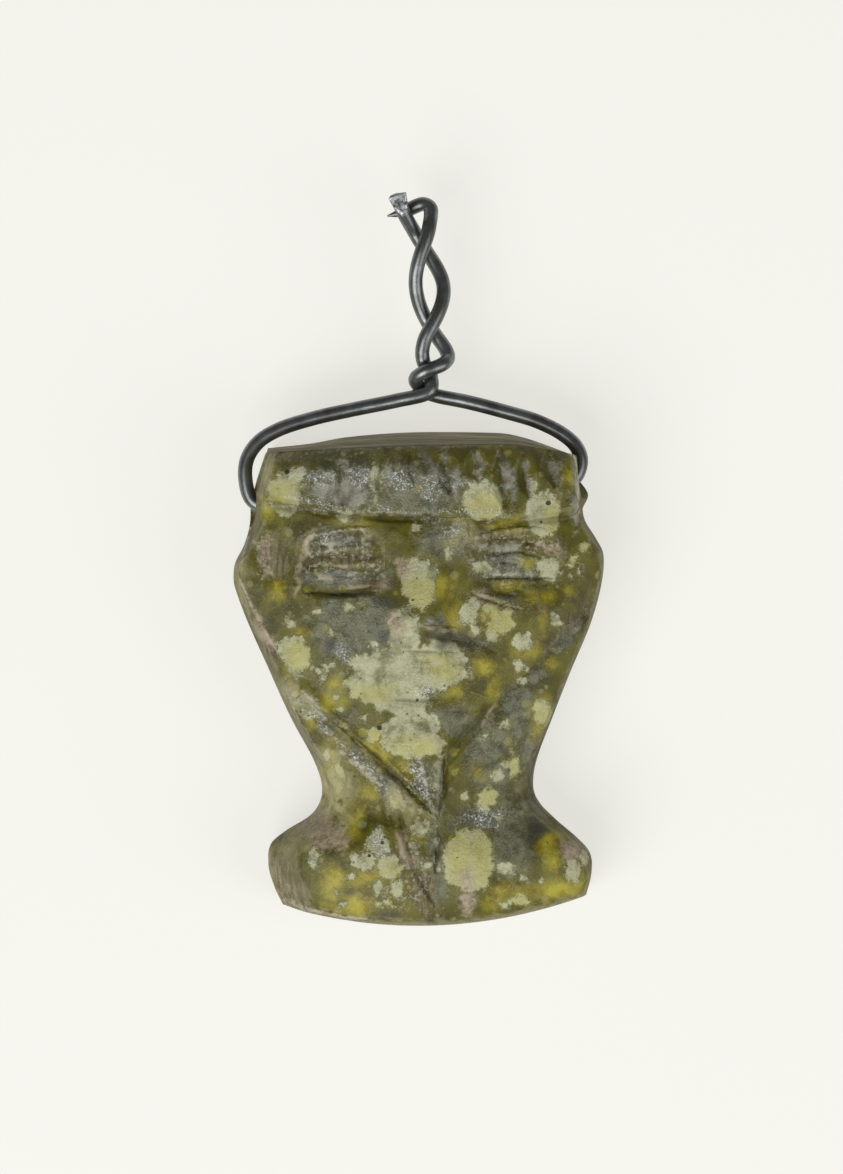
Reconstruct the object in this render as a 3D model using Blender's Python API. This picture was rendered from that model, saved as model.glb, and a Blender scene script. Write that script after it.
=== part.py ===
"""A carved stone amulet, a deity's head on its shoulders, threaded on a twisted iron wire.

It lies on its flat back with the face up: +X is to its right as it is seen from above, +Y runs
from the base to the wire's twist, and +Z points out of the face. The origin is on the surface it
lies on, under the middle of its outline. The stone's form and carving are given as shares of its
own width and height: u runs across from its middle line, v runs up from its lowest point.
"""

import math

import bmesh
import bpy
import numpy as np
from mathutils import Vector

MM = 0.001

# Driving sizes of the stone
STONE_WIDTH = 19.5 * MM
STONE_HEIGHT = 26.0 * MM
STONE_THICKNESS = 8.6 * MM
BACK_EDGE_RADIUS = 0.7 * MM

# Driving sizes of the wire and of the hole that it is threaded through
WIRE_DIAMETER = 0.76 * MM
BORE_CLEARANCE = 0.36 * MM
MOUTH_FLARE = 0.30 * MM
MOUTH_DEPTH = 0.70 * MM
ARM_CLEARANCE = 0.35 * MM
KNOT_RISE = 2.0 * MM

# How finely the stone's surfaces are divided: columns over the left bevel, the face and the right
# bevel; rows over the base's bevel, the face, the step up to the hair band, the band, the top's bevel
COLUMNS = (3, 31, 3)
ROWS = (1, 35, 3, 8, 1)
WALL_ROWS = 3
BACK_EDGE_ROWS = 2
ROUND_RESOLUTION = 2
WIRE_STEP = 0.62 * MM
MERGE_DISTANCE = 0.001 * MM
CREASE_ANGLE = 35.0  # in degrees

# Outline of the front, as (v, u) up each side
LEFT_EDGE = (
    (0.038, -0.365), (0.077, -0.390), (0.126, -0.406), (0.158, -0.400), (0.186, -0.360),
    (0.215, -0.298), (0.243, -0.268), (0.271, -0.260), (0.320, -0.276), (0.417, -0.344),
    (0.514, -0.403), (0.660, -0.486), (0.700, -0.500), (0.733, -0.495), (0.767, -0.472),
    (0.806, -0.457), (0.848, -0.453), (0.895, -0.439), (0.960, -0.411),
)
RIGHT_EDGE = (
    (0.060, 0.452), (0.097, 0.465), (0.126, 0.468), (0.150, 0.457), (0.174, 0.427),
    (0.211, 0.371), (0.247, 0.325), (0.279, 0.309), (0.320, 0.314), (0.417, 0.360),
    (0.514, 0.411), (0.611, 0.465), (0.684, 0.492), (0.733, 0.500), (0.757, 0.496),
    (0.785, 0.476), (0.818, 0.449), (0.858, 0.440), (0.955, 0.427),
)
BASE_BOW = 0.30  # v of the bottom edge is this times u squared

# The top face leans: its front and back edges, as (u, v)
TOP_FRONT = (
    (-0.410, 0.953), (-0.200, 0.962), (0.020, 0.968), (0.220, 0.970), (0.360, 0.958), (0.430, 0.948),
)
TOP_BACK = (
    (-0.410, 0.967), (-0.290, 0.977), (-0.200, 0.989), (0.040, 1.000), (0.220, 0.998), (0.290, 0.988),
    (0.360, 0.970), (0.430, 0.950),
)

# The middle line's height above the back, as (v, share of the thickness)
MIDDLE_LINE = (
    (0.00, 0.78), (0.05, 0.83), (0.14, 0.85), (0.23, 0.80), (0.31, 0.83), (0.40, 0.88),
    (0.50, 0.90), (0.62, 0.91), (0.76, 0.91), (0.83, 0.90), (1.00, 0.88),
)
SIDE_FALL = 1.5 * MM
SIDE_FALL_POWER = 2.6

# Rims: where the front meets the walls, as (v, width in mm) of the worn bevel up each side
LEFT_BEVEL = (
    (0.00, 1.70), (0.14, 1.80), (0.19, 1.40), (0.24, 0.90), (0.32, 0.60), (0.44, 0.55),
    (0.52, 0.60), (0.62, 0.50), (0.72, 0.50), (0.80, 0.80), (0.90, 0.75), (1.00, 0.60),
)
RIGHT_BEVEL = (
    (0.00, 0.35), (0.13, 0.45), (0.20, 0.85), (0.27, 1.00), (0.34, 0.60), (0.44, 0.38),
    (0.70, 0.32), (0.78, 0.50), (1.00, 0.40),
)
BASE_BEVEL = 0.35 * MM
TOP_BEVEL = 0.12 * MM
LEFT_RIM = 0.42    # rim heights, as shares of the thickness
RIGHT_RIM = 0.50
BASE_RIM = 0.62
TOP_RIM = 0.80
RIGHT_BULGE = (0.872, 0.036, 0.42 * MM)  # v, half height in v and reach of the lump under the mouth

# The hair band over the forehead
BAND_FOOT = (
    (-0.45, 0.866), (-0.32, 0.848), (-0.185, 0.829), (0.03, 0.820), (0.14, 0.816), (0.24, 0.816),
    (0.34, 0.824), (0.45, 0.836),
)  # (u, v) of its lower edge
BAND_CREST = 0.975         # share of the thickness
BAND_FLAT = (0.10, 0.55)   # shares of the way from its lower edge to the top between which it is flat
BAND_TOP_FALL = 4.9 * MM
BAND_FOOT_FALL = 9.0 * MM
BAND_STEP = 0.022          # v over which it drops to the forehead

# Hollows and swellings of the face and chest:
# middle (u, v), half size (u, v), turn in degrees, height in mm, edge softness as a share
PANELS = {
    "left eye": ((-0.210, 0.730), (0.105, 0.062), 3.0, -0.40, 0.30),
    "right eye": ((0.268, 0.722), (0.112, 0.064), -9.0, -0.38, 0.60),
    "left temple": ((-0.372, 0.738), (0.052, 0.046), 12.0, -0.17, 0.80),
    "brow": ((0.035, 0.775), (0.105, 0.040), 0.0, 0.10, 0.60),
    "left cheek": ((-0.200, 0.590), (0.150, 0.090), -10.0, 0.16, 0.80),
    "right cheek": ((0.240, 0.590), (0.130, 0.080), 12.0, 0.14, 0.80),
    "lips": ((0.010, 0.520), (0.085, 0.052), 0.0, 0.32, 0.60),
    "chin": ((0.000, 0.402), (0.085, 0.058), 0.0, 0.30, 0.70),
    "left chest": ((-0.200, 0.110), (0.130, 0.070), 6.0, 0.14, 0.90),
    "right chest": ((0.230, 0.130), (0.150, 0.080), -6.0, 0.16, 0.90),
}

# Ridges: start and end (u, v), half widths at both in mm, heights at both in mm
RIDGES = {
    "nose": ((0.004, 0.770), (0.006, 0.622), 0.95, 1.55, 0.24, 0.85),
    "beard": ((0.020, 0.370), (0.050, 0.240), 1.05, 0.45, 0.34, 0.22),
    "left strap": ((-0.325, 0.466), (0.036, 0.212), 0.85, 0.85, 0.34, 0.40),
    "right strap": ((0.440, 0.590), (0.062, 0.240), 0.90, 0.85, 0.20, 0.26),
}

# Notches cut into the hair band: start under the top edge and end (u, v), width and depth in mm
HAIR_NOTCHES = (
    ((-0.202, 0.944), (-0.196, 0.834), 0.85, 0.28), ((-0.087, 0.946), (-0.102, 0.864), 0.90, 0.32),
    ((-0.023, 0.958), (-0.015, 0.890), 0.75, 0.24), ((0.084, 0.960), (0.090, 0.864), 1.55, 0.40),
    ((0.154, 0.964), (0.160, 0.886), 1.30, 0.44), ((0.223, 0.966), (0.234, 0.832), 1.35, 0.50),
    ((0.280, 0.958), (0.295, 0.856), 1.15, 0.44), ((0.349, 0.956), (0.365, 0.878), 1.15, 0.44),
)
NOTCH_SKEW = 0.35  # how far a notch's bottom lies towards its left wall, in half widths

# Strokes of the carver's tool: start and end (u, v), then in mm its bend to the left of the way
# it runs, its width and its depth
STROKES = {
    "under the band": ((-0.212, 0.822), (0.132, 0.818), -0.16, 0.60, 0.32),
    "middle brow": ((0.134, 0.826), (0.136, 0.784), 0.0, 0.26, 0.16),
    "left upper lid": ((-0.302, 0.786), (-0.116, 0.804), 0.10, 0.42, 0.22),
    "left eye line": ((-0.306, 0.742), (-0.090, 0.744), 0.05, 0.80, 0.20),
    "left eye middle": ((-0.300, 0.712), (-0.110, 0.716), 0.0, 0.34, 0.12),
    "left lower lid": ((-0.320, 0.676), (-0.088, 0.678), -0.10, 0.50, 0.28),
    "left temple cut": ((-0.416, 0.782), (-0.418, 0.706), 0.0, 0.46, 0.14),
    "right upper lid": ((0.146, 0.786), (0.346, 0.804), 0.26, 0.36, 0.24),
    "right eye line": ((0.142, 0.742), (0.366, 0.732), 0.50, 0.36, 0.18),
    "right eye middle": ((0.170, 0.698), (0.376, 0.700), 0.10, 0.42, 0.24),
    "right lower lid": ((0.130, 0.678), (0.294, 0.636), -0.16, 0.42, 0.24),
    "right nostril": ((0.010, 0.608), (0.110, 0.602), 0.0, 0.42, 0.18),
    "right cheek fold": ((0.024, 0.584), (0.224, 0.548), 0.20, 0.90, 0.24),
    "left nostril": ((-0.040, 0.626), (-0.088, 0.600), 0.0, 0.42, 0.12),
    "mouth": ((-0.055, 0.554), (0.078, 0.553), 0.0, 0.42, 0.12),
    "under the lip": ((-0.080, 0.457), (0.074, 0.457), -0.10, 0.70, 0.14),
    "lip corner": ((0.066, 0.435), (0.152, 0.433), 0.0, 0.28, 0.10),
    "strap line": ((-0.346, 0.492), (-0.103, 0.329), 0.0, 0.30, 0.18),
    "left jaw groove": ((-0.180, 0.390), (0.062, 0.213), 0.0, 0.70, 0.46),
    "right jaw groove": ((0.234, 0.468), (0.060, 0.309), -0.30, 0.94, 0.46),
    "beard groove": ((0.072, 0.360), (0.052, 0.215), 0.10, 0.52, 0.38),
    "right jaw line": ((0.468, 0.648), (0.224, 0.458), 0.0, 0.60, 0.12),
    "throat groove": ((-0.060, 0.258), (0.058, 0.024), -0.36, 0.56, 0.34),
    "throat cut": ((0.058, 0.196), (0.042, 0.102), 0.0, 0.52, 0.32),
    "neck line": ((-0.104, 0.264), (-0.070, 0.180), 0.0, 0.40, 0.20),
}
STROKE_PROUD = 0.10  # how far a cutter's middle line stands above the surface, in its depth
STROKE_STEPS = 4

# Where the hole runs: (u, v) just inside its two mouths, and its height in thicknesses
BORE_LEFT = (-0.424, 0.848)
BORE_RIGHT = (0.418, 0.902)
BORE_RISE = 0.47

# The wire's arms from the hole over the shoulders, as (u, v) from the mouths to the knot
LEFT_ARM = (
    (-0.452, 0.862), (-0.467, 0.900), (-0.463, 0.941), (-0.433, 0.976), (-0.380, 1.001),
    (-0.287, 1.024), (-0.174, 1.043), (-0.061, 1.060),
)
RIGHT_ARM = (
    (0.433, 0.918), (0.438, 0.944), (0.423, 0.970), (0.386, 0.994), (0.319, 1.019),
    (0.244, 1.036), (0.131, 1.058), (0.053, 1.070),
)
GROOVE_POINTS = 5  # how many of them lie along the groove that each arm sits in
LEFT_RISES = (0.06, 0.24)     # how far the last points lie above the hole, in wire diameters
RIGHT_RISES = (-0.16, -0.52)

# The wire's stem, in wire diameters from the knot, each against height: its half turns, the drift
# (x) and lean (z) of its middle line, and half the gap between its strands in x and in z
KNOT_U = 0.031
HALF_TURNS = (
    (0.0, 0.0), (0.8, 0.5), (1.55, 1.0), (2.25, 1.5), (2.7, 1.61), (4.5, 2.0), (7.3, 2.5), (10.1, 3.0),
    (15.2, 4.0),
)
STEM_DRIFT = (
    (0.0, -0.12), (0.95, -0.46), (1.55, -0.08), (2.25, 0.38), (2.85, 0.31), (3.9, 0.10), (4.5, 0.07),
    (7.3, -0.02), (10.1, -0.45), (11.5, -0.65), (12.3, -0.80),
)
STEM_LEAN = ((0.0, -0.20), (0.8, 0.0), (1.55, 0.20), (2.7, 0.0))
STEM_SPREAD = (
    (0.0, 0.56), (1.0, 0.56), (2.3, 0.87), (3.2, 0.95), (7.3, 0.96), (10.1, 0.86), (11.5, 0.81),
)
STEM_DEPTH = ((0.0, 0.60), (1.55, 0.60), (4.5, 0.54))
STEM_STEP = 0.45
STEM_END = 11.0
# The tails of its two strands, as (x, height, z)
FRONT_TAIL = ((-1.74, 12.26, 0.34), (-2.06, 13.00, 0.80), (-2.23, 13.50, 1.10))
BACK_TAIL = (
    (0.06, 12.25, 0.00), (0.03, 12.78, -0.26), (-0.45, 13.08, -0.50), (-1.45, 12.73, -0.74),
    (-2.20, 12.45, -0.80), (-2.96, 12.27, -0.82),
)
POINTED_END = (0.80, 0.50, 0.22)
NIPPED_END = (1.00, 1.10, 1.25)


# Curves and shapes shared by the stone's surfaces

def curve(keys, at):
    """A smooth line through (position, value) keys that never overshoots them."""
    x = np.array([k[0] for k in keys])
    y = np.array([k[1] for k in keys])
    at = np.clip(np.asarray(at, float), x[0], x[-1])
    gap = np.diff(x)
    slope = np.diff(y) / gap
    tangent = np.concatenate([slope[:1], (slope[:-1] + slope[1:]) / 2, slope[-1:]])
    turns = slope[:-1] * slope[1:] <= 0
    tangent[1:-1][turns] = 0.0
    steepest = 3 * np.minimum(
        np.abs(np.concatenate([slope[:1], slope])), np.abs(np.concatenate([slope, slope[-1:]]))
    )
    tangent = np.clip(tangent, -steepest, steepest)
    i = np.clip(np.searchsorted(x, at, side="right") - 1, 0, len(gap) - 1)
    t = (at - x[i]) / gap[i]
    return (
        y[i] * (2 * t**3 - 3 * t**2 + 1)
        + tangent[i] * gap[i] * (t**3 - 2 * t**2 + t)
        + y[i + 1] * (3 * t**2 - 2 * t**3)
        + tangent[i + 1] * gap[i] * (t**3 - t**2)
    )


def smooth(t):
    t = np.clip(t, 0.0, 1.0)
    return t * t * (3 - 2 * t)


def left_edge(v):
    return curve(LEFT_EDGE, v)


def right_edge(v):
    return curve(RIGHT_EDGE, v)


def base_edge(u):
    return BASE_BOW * u**2


def top_edge(u, share_back=0.0):
    """v of the top's edge: the front edge at 0, the back edge at 1."""
    front, back = curve(TOP_FRONT, u), curve(TOP_BACK, u)
    return front + (back - front) * share_back


def outline_point(s, t, share_back=0.0):
    """(u, v) at s across and t up the outline, of the front at share_back 0, of the back at 1."""
    low = LEFT_EDGE[0][1] * (1 - s) + RIGHT_EDGE[0][1] * s
    high = LEFT_EDGE[-1][1] * (1 - s) + RIGHT_EDGE[-1][1] * s
    v = base_edge(low) * (1 - t) + top_edge(high, share_back) * t
    return left_edge(v) * (1 - s) + right_edge(v) * s, v


def right_bulge(v):
    middle, half, reach = RIGHT_BULGE
    return reach * smooth(1 - abs(v - middle) / half)


def band_foot(u):
    return curve(BAND_FOOT, u)


def segment(u, v, start, end):
    """Distance in metres from the line from start to end, and the share of the way along it."""
    x, y = u * STONE_WIDTH, v * STONE_HEIGHT
    ax, ay = start[0] * STONE_WIDTH, start[1] * STONE_HEIGHT
    bx, by = end[0] * STONE_WIDTH, end[1] * STONE_HEIGHT
    dx, dy = bx - ax, by - ay
    along = np.clip(((x - ax) * dx + (y - ay) * dy) / (dx * dx + dy * dy), 0.0, 1.0)
    return np.hypot(x - ax - along * dx, y - ay - along * dy), along


def panel(u, v, middle, half, turn, softness):
    """1 inside a turned, soft-edged rectangle and 0 outside it."""
    x = (u - middle[0]) * STONE_WIDTH
    y = (v - middle[1]) * STONE_HEIGHT
    c, s = math.cos(math.radians(turn)), math.sin(math.radians(turn))
    across = np.abs(x * c + y * s) / (half[0] * STONE_WIDTH)
    up = np.abs(y * c - x * s) / (half[1] * STONE_HEIGHT)
    reach = (across**4 + up**4) ** 0.25
    return smooth((1 + softness / 2 - reach) / softness)


def band_height(u, v, forehead):
    """The hair band's rounded front, blended down to the forehead below its lower edge."""
    foot = band_foot(u)
    rise = (v - foot) / (top_edge(u) - foot)
    above = np.maximum(0.0, rise - BAND_FLAT[1])
    below = np.maximum(0.0, BAND_FLAT[0] - rise)
    crest = BAND_CREST * STONE_THICKNESS - side_fall(u, v) * 0.75
    band = crest - BAND_TOP_FALL * above**2 - BAND_FOOT_FALL * below**2
    return forehead + (band - forehead) * smooth((v - foot) / BAND_STEP + 0.5)


def side_fall(u, v):
    left, right = left_edge(v), right_edge(v)
    across = np.abs(2 * u - left - right) / (right - left)
    return SIDE_FALL * across**SIDE_FALL_POWER


def rim_drop(u, v, height):
    """How far the worn bevels at the outline lower the front."""
    left = (u - left_edge(v)) * STONE_WIDTH / (curve(LEFT_BEVEL, v) * MM)
    right = (right_edge(v) - u) * STONE_WIDTH / (curve(RIGHT_BEVEL, v) * MM)
    base = (v - base_edge(u)) * STONE_HEIGHT / BASE_BEVEL
    top = (top_edge(u) - v) * STONE_HEIGHT / TOP_BEVEL
    total = 0.0
    for reach, rim, power in (
        (left, LEFT_RIM, 1.35), (right, RIGHT_RIM, 2.0), (base, BASE_RIM, 2.0), (top, TOP_RIM, 2.0),
    ):
        drop = np.maximum(0.0, height - rim * STONE_THICKNESS)
        total = total + (drop * (1 - np.clip(reach, 0.0, 1.0)) ** power) ** 4
    return total**0.25


def front_height(u, v):
    """Height of the front above the back, without the tool strokes."""
    height = curve(MIDDLE_LINE, v) * STONE_THICKNESS - side_fall(u, v)
    for middle, half, turn, rise, softness in PANELS.values():
        height = height + rise * MM * panel(u, v, middle, half, turn, softness)
    for start, end, start_width, end_width, start_rise, end_rise in RIDGES.values():
        away, along = segment(u, v, start, end)
        half_width = (start_width + (end_width - start_width) * along) * MM
        rise = (start_rise + (end_rise - start_rise) * along) * MM
        height = height + rise * smooth(1.25 - away / half_width)
    height = band_height(u, v, height)
    return height - rim_drop(u, v, height)


def stone_point(u, v, z):
    return Vector((u * STONE_WIDTH, v * STONE_HEIGHT, z))


# Blender helpers

def clear_scene():
    for obj in list(bpy.data.objects):
        bpy.data.objects.remove(obj, do_unlink=True)


def new_collection(name):
    collection = bpy.data.collections.new(name)
    bpy.context.scene.collection.children.link(collection)
    return collection


def material(name, colour, roughness, metallic=0.0):
    made = bpy.data.materials.new(name)
    made.use_nodes = True
    shader = made.node_tree.nodes["Principled BSDF"]
    shader.inputs["Base Color"].default_value = (*colour, 1.0)
    shader.inputs["Roughness"].default_value = roughness
    shader.inputs["Metallic"].default_value = metallic
    return made


def mesh_object(name, bm, collection):
    bmesh.ops.recalc_face_normals(bm, faces=bm.faces)
    mesh = bpy.data.meshes.new(name)
    bm.to_mesh(mesh)
    bm.free()
    obj = bpy.data.objects.new(name, mesh)
    collection.objects.link(obj)
    return obj


def cut(obj, cutter):
    """Takes the cutter away from obj with a Boolean that stays on it."""
    cutter.hide_render = True
    cutter.display_type = "WIRE"
    boolean = obj.modifiers.new(cutter.name, "BOOLEAN")
    boolean.operation = "DIFFERENCE"
    boolean.solver = "EXACT"
    boolean.object = cutter


def round_wire(name, route, thickness, shares, collection):
    """A round curve object of a given thickness along a route, scaled by a share at each point."""
    data = bpy.data.curves.new(name, "CURVE")
    data.dimensions = "3D"
    data.twist_mode = "MINIMUM"
    data.bevel_depth = thickness / 2
    data.bevel_resolution = ROUND_RESOLUTION
    data.use_fill_caps = True
    spline = data.splines.new("POLY")
    spline.points.add(len(route) - 1)
    for point, place, share in zip(spline.points, route, shares):
        point.co = (*place, 1.0)
        point.radius = share
    obj = bpy.data.objects.new(name, data)
    collection.objects.link(obj)
    return obj


def curve_to_mesh(obj, collection):
    """Swaps a curve object for a closed mesh object of the same name."""
    bpy.context.view_layer.update()
    evaluated = obj.evaluated_get(bpy.context.evaluated_depsgraph_get())
    bm = bmesh.new()
    bm.from_mesh(bpy.data.meshes.new_from_object(evaluated))
    bmesh.ops.remove_doubles(bm, verts=bm.verts, dist=MERGE_DISTANCE)
    name, place = obj.name, obj.matrix_world.copy()
    bpy.data.objects.remove(obj, do_unlink=True)
    made = mesh_object(name, bm, collection)
    made.matrix_world = place
    return made


# The stone

def stretches(marks, counts):
    """Grid lines from the first mark to the last, with counts[k] equal steps from mark k to k + 1."""
    lines = [marks[0]]
    for near, far, count in zip(marks, marks[1:], counts):
        lines += [near + (far - near) * k / count for k in range(1, count + 1)]
    return np.array(lines)


def front_shares():
    """s and t of the front's grid, with lines along the bevels and along the hair band's foot."""
    s, t = np.meshgrid(np.linspace(0.0, 1.0, sum(COLUMNS) + 1), np.linspace(0.0, 1.0, sum(ROWS) + 1))
    for _ in range(3):
        u, v = outline_point(s, t)
        width = (right_edge(v) - left_edge(v))[:, 0] * STONE_WIDTH
        left = curve(LEFT_BEVEL, v[:, 0]) * MM / width
        right = curve(RIGHT_BEVEL, v[:, -1]) * MM / width
        s = stretches((0 * left, left, 1 - right, 0 * right + 1), COLUMNS).T
        low, high = base_edge(u[0]), top_edge(u[-1])
        foot = band_foot(u[-sum(ROWS[3:]) - 1])
        marks = (
            low, low + BASE_BEVEL / STONE_HEIGHT, foot - BAND_STEP / 2, foot + BAND_STEP / 2,
            high - TOP_BEVEL / STONE_HEIGHT, high,
        )
        t = stretches([(mark - low) / (high - low) for mark in marks], ROWS)
    return s, t


def front_points():
    """The front surface, as rows of points from the base to the top."""
    s, t = front_shares()
    u, v = outline_point(s, t)
    z = front_height(u, v)
    rows = [[stone_point(*place) for place in zip(*row)] for row in zip(u, v, z)]
    return rows, s, t


def rim_order():
    """Grid places (row, column) once round the front's edge."""
    last_row, last_column = sum(ROWS), sum(COLUMNS)
    return (
        [(0, i) for i in range(last_column)]
        + [(j, last_column) for j in range(last_row)]
        + [(last_row, i) for i in range(last_column, 0, -1)]
        + [(j, 0) for j in range(last_row, 0, -1)]
    )


def wall_loop(rim, s, t, share):
    """The wall's points at a share of the way from the front's rim to the back's edge."""
    points = []
    for point, across, up in zip(rim, s, t):
        u, v = outline_point(across, up, share)
        if across == 1.0:
            u += right_bulge(v) / STONE_WIDTH * math.sin(math.pi * share)
        points.append(stone_point(u, v, point.z + (BACK_EDGE_RADIUS - point.z) * share))
    return points


def back_loop(s, t, share):
    """The rounded edge between the walls and the flat back, from the walls at 0 to the back at 1."""
    angle = share * math.pi / 2
    inset = BACK_EDGE_RADIUS * (1 - math.cos(angle))
    z = BACK_EDGE_RADIUS * (1 - math.sin(angle))
    across_share = 1 - 2 * inset / STONE_WIDTH
    up_share = 1 - 2 * inset / STONE_HEIGHT
    points = []
    for across, up in zip(s, t):
        u, v = outline_point(0.5 + (across - 0.5) * across_share, 0.5 + (up - 0.5) * up_share, 1.0)
        points.append(stone_point(u, v, z))
    return points


def stone_body(collection):
    """The uncut stone: a gridded front, lofted walls, a rounded back edge and one flat back face."""
    rows, s, t = front_points()
    order = rim_order()
    rim = [rows[j][i] for j, i in order]
    rim_s = [s[j, i] for j, i in order]
    rim_t = [t[j, i] for j, i in order]
    loops = [wall_loop(rim, rim_s, rim_t, k / WALL_ROWS) for k in range(1, WALL_ROWS + 1)]
    loops += [back_loop(rim_s, rim_t, k / BACK_EDGE_ROWS) for k in range(1, BACK_EDGE_ROWS + 1)]

    bm = bmesh.new()
    grid = [[bm.verts.new(point) for point in row] for row in rows]
    for j in range(sum(ROWS)):
        for i in range(sum(COLUMNS)):
            bm.faces.new((grid[j][i], grid[j][i + 1], grid[j + 1][i + 1], grid[j + 1][i]))
    upper = [grid[j][i] for j, i in order]
    for loop in loops:
        lower = [bm.verts.new(point) for point in loop]
        for k in range(len(order)):
            after = (k + 1) % len(order)
            bm.faces.new((upper[k], lower[k], lower[after], upper[after]))
        upper = lower
    bm.faces.new(upper)
    stone = mesh_object("stone_amulet", bm, collection)
    stone.data.shade_smooth()
    stone.data.set_sharp_from_angle(angle=math.radians(CREASE_ANGLE))
    return stone


def bore_ends():
    """Where the hole's middle line meets the stone's two sides."""
    z = BORE_RISE * STONE_THICKNESS
    inner = stone_point(*BORE_LEFT, z), stone_point(*BORE_RIGHT, z)
    along = (inner[1] - inner[0]).normalized()
    edges = left_edge(BORE_LEFT[1]), right_edge(BORE_RIGHT[1])
    return [
        place + along * ((float(edge) * STONE_WIDTH - place.x) / along.x) for place, edge in zip(inner, edges)
    ]


def drill(stone, cutters):
    """The hole from side to side with its worn mouths, and the grooves that the wire's arms sit in."""
    left, right = bore_ends()
    beyond = (right - left).normalized() * MOUTH_DEPTH
    bore = WIRE_DIAMETER + 2 * BORE_CLEARANCE
    flare = 1 + 4 * MOUTH_FLARE / bore
    route = [left - beyond, left + beyond, right - beyond, right + beyond]
    cutter = round_wire("bore_cutter", route, bore, (flare, 1.0, 1.0, flare), cutters)
    cut(stone, curve_to_mesh(cutter, cutters))
    groove = WIRE_DIAMETER + 2 * ARM_CLEARANCE
    for name, start, arm in (("left", BORE_LEFT, LEFT_ARM), ("right", BORE_RIGHT, RIGHT_ARM)):
        route = smooth_route([bore_height_point(place) for place in (start, *arm[:GROOVE_POINTS])], WIRE_STEP)
        cutter = round_wire(name + "_groove_cutter", route, groove, [1.0] * len(route), cutters)
        cut(stone, curve_to_mesh(cutter, cutters))


def bore_height_point(place):
    return stone_point(*place, BORE_RISE * STONE_THICKNESS)


def surface_point(u, v):
    return stone_point(u, v, float(front_height(u, min(v, float(top_edge(u))))))


def add_stroke(bm, start, end, bend, width, depth, skew=0.0):
    """A four-sided tool shape along the surface, pointed at both ends."""
    dx, dy = (end[0] - start[0]) * STONE_WIDTH, (end[1] - start[1]) * STONE_HEIGHT
    sideways = Vector((-dy, dx, 0.0)).normalized()
    rings = []
    for share in (k / STROKE_STEPS for k in range(STROKE_STEPS + 1)):
        off = sideways * (bend * math.sin(math.pi * share))
        u = start[0] + (end[0] - start[0]) * share + off.x / STONE_WIDTH
        v = start[1] + (end[1] - start[1]) * share + off.y / STONE_HEIGHT
        reach = max(math.sin(share * math.pi), 0.0) ** 0.7
        place = surface_point(u, v) + Vector((0.0, 0.0, depth * STROKE_PROUD))
        if reach < 0.01:
            rings.append([bm.verts.new(place)])
            continue
        half, down = sideways * (reach * width / 2), Vector((0.0, 0.0, reach * depth))
        lean = half * skew
        rings.append([bm.verts.new(place + offset) for offset in (half, down + lean, -half, lean - down)])
    for near, far in zip(rings, rings[1:]):
        for k in range(4):
            after = (k + 1) % 4
            ends = [near[k], near[after]] if len(near) > 1 else [near[0]]
            ends += [far[after], far[k]] if len(far) > 1 else [far[0]]
            bm.faces.new(ends)


def carve(stone, cutters):
    """The notches in the hair band and the tool strokes of the face and chest."""
    bm = bmesh.new()
    for start, end, width, depth in HAIR_NOTCHES:
        add_stroke(bm, start, end, 0.0, width * MM, depth * MM, skew=-NOTCH_SKEW)
    for start, end, bend, width, depth in STROKES.values():
        add_stroke(bm, start, end, bend * MM, width * MM, depth * MM)
    cut(stone, mesh_object("strokes_cutter", bm, cutters))
    stone.modifiers["strokes_cutter"].use_self = True


def build_stone(collection, cutters):
    stone = stone_body(collection)
    drill(stone, cutters)
    carve(stone, cutters)
    stone.data.materials.append(material("serpentine", (0.155, 0.150, 0.045), 0.32))


# The wire

def strand_point(height, front, knot):
    """A point of one strand of the twisted stem. The front strand starts out in front."""
    phase = math.pi * float(curve(HALF_TURNS, height))
    sign = 1.0 if front else -1.0
    x = float(curve(STEM_DRIFT, height)) + sign * float(curve(STEM_SPREAD, height)) * math.sin(phase)
    z = float(curve(STEM_LEAN, height)) + sign * float(curve(STEM_DEPTH, height)) * math.cos(phase)
    return knot + Vector((x, height, z)) * WIRE_DIAMETER


def stem(front, knot):
    """One strand from the knot up to its cut end."""
    steps = int(STEM_END / STEM_STEP)
    heights = np.linspace(0.0, STEM_END if front else STEM_END + 0.6, steps + 1)
    points = [strand_point(float(height), front, knot) for height in heights]
    tail = FRONT_TAIL if front else BACK_TAIL
    return points + [knot + Vector(offset) * WIRE_DIAMETER for offset in tail]


def smooth_route(points, step):
    """Points a step apart along a smooth curve through the given ones."""
    padded = [2 * points[0] - points[1], *points, 2 * points[-1] - points[-2]]
    dense = []
    for a, b, c, d in zip(padded, padded[1:], padded[2:], padded[3:]):
        count = max(2, math.ceil((c - b).length / step * 8))
        ends = [0.0]
        for p, q in ((a, b), (b, c), (c, d)):
            ends.append(ends[-1] + math.sqrt((q - p).length))
        for k in range(count):
            at = ends[1] + (ends[2] - ends[1]) * k / count
            dense.append(centripetal(a, b, c, d, ends, at))
    dense.append(points[-1])
    length = sum((q - p).length for p, q in zip(dense, dense[1:]))
    spacing = length / round(length / step)
    route, left = [dense[0]], spacing
    for p, q in zip(dense, dense[1:]):
        gap = (q - p).length
        while gap >= left:
            p = p.lerp(q, left / gap)
            gap -= left
            left = spacing
            route.append(p)
        left -= gap
    route[-1] = points[-1]
    return route


def centripetal(a, b, c, d, ends, at):
    """The Catmull-Rom curve between b and c, with its knots at ends."""
    t0, t1, t2, t3 = ends
    ab = a.lerp(b, (at - t0) / (t1 - t0))
    bc = b.lerp(c, (at - t1) / (t2 - t1))
    cd = c.lerp(d, (at - t2) / (t3 - t2))
    abc = ab.lerp(bc, (at - t0) / (t2 - t0))
    bcd = bc.lerp(cd, (at - t1) / (t3 - t1))
    return abc.lerp(bcd, (at - t1) / (t2 - t1))


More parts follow.
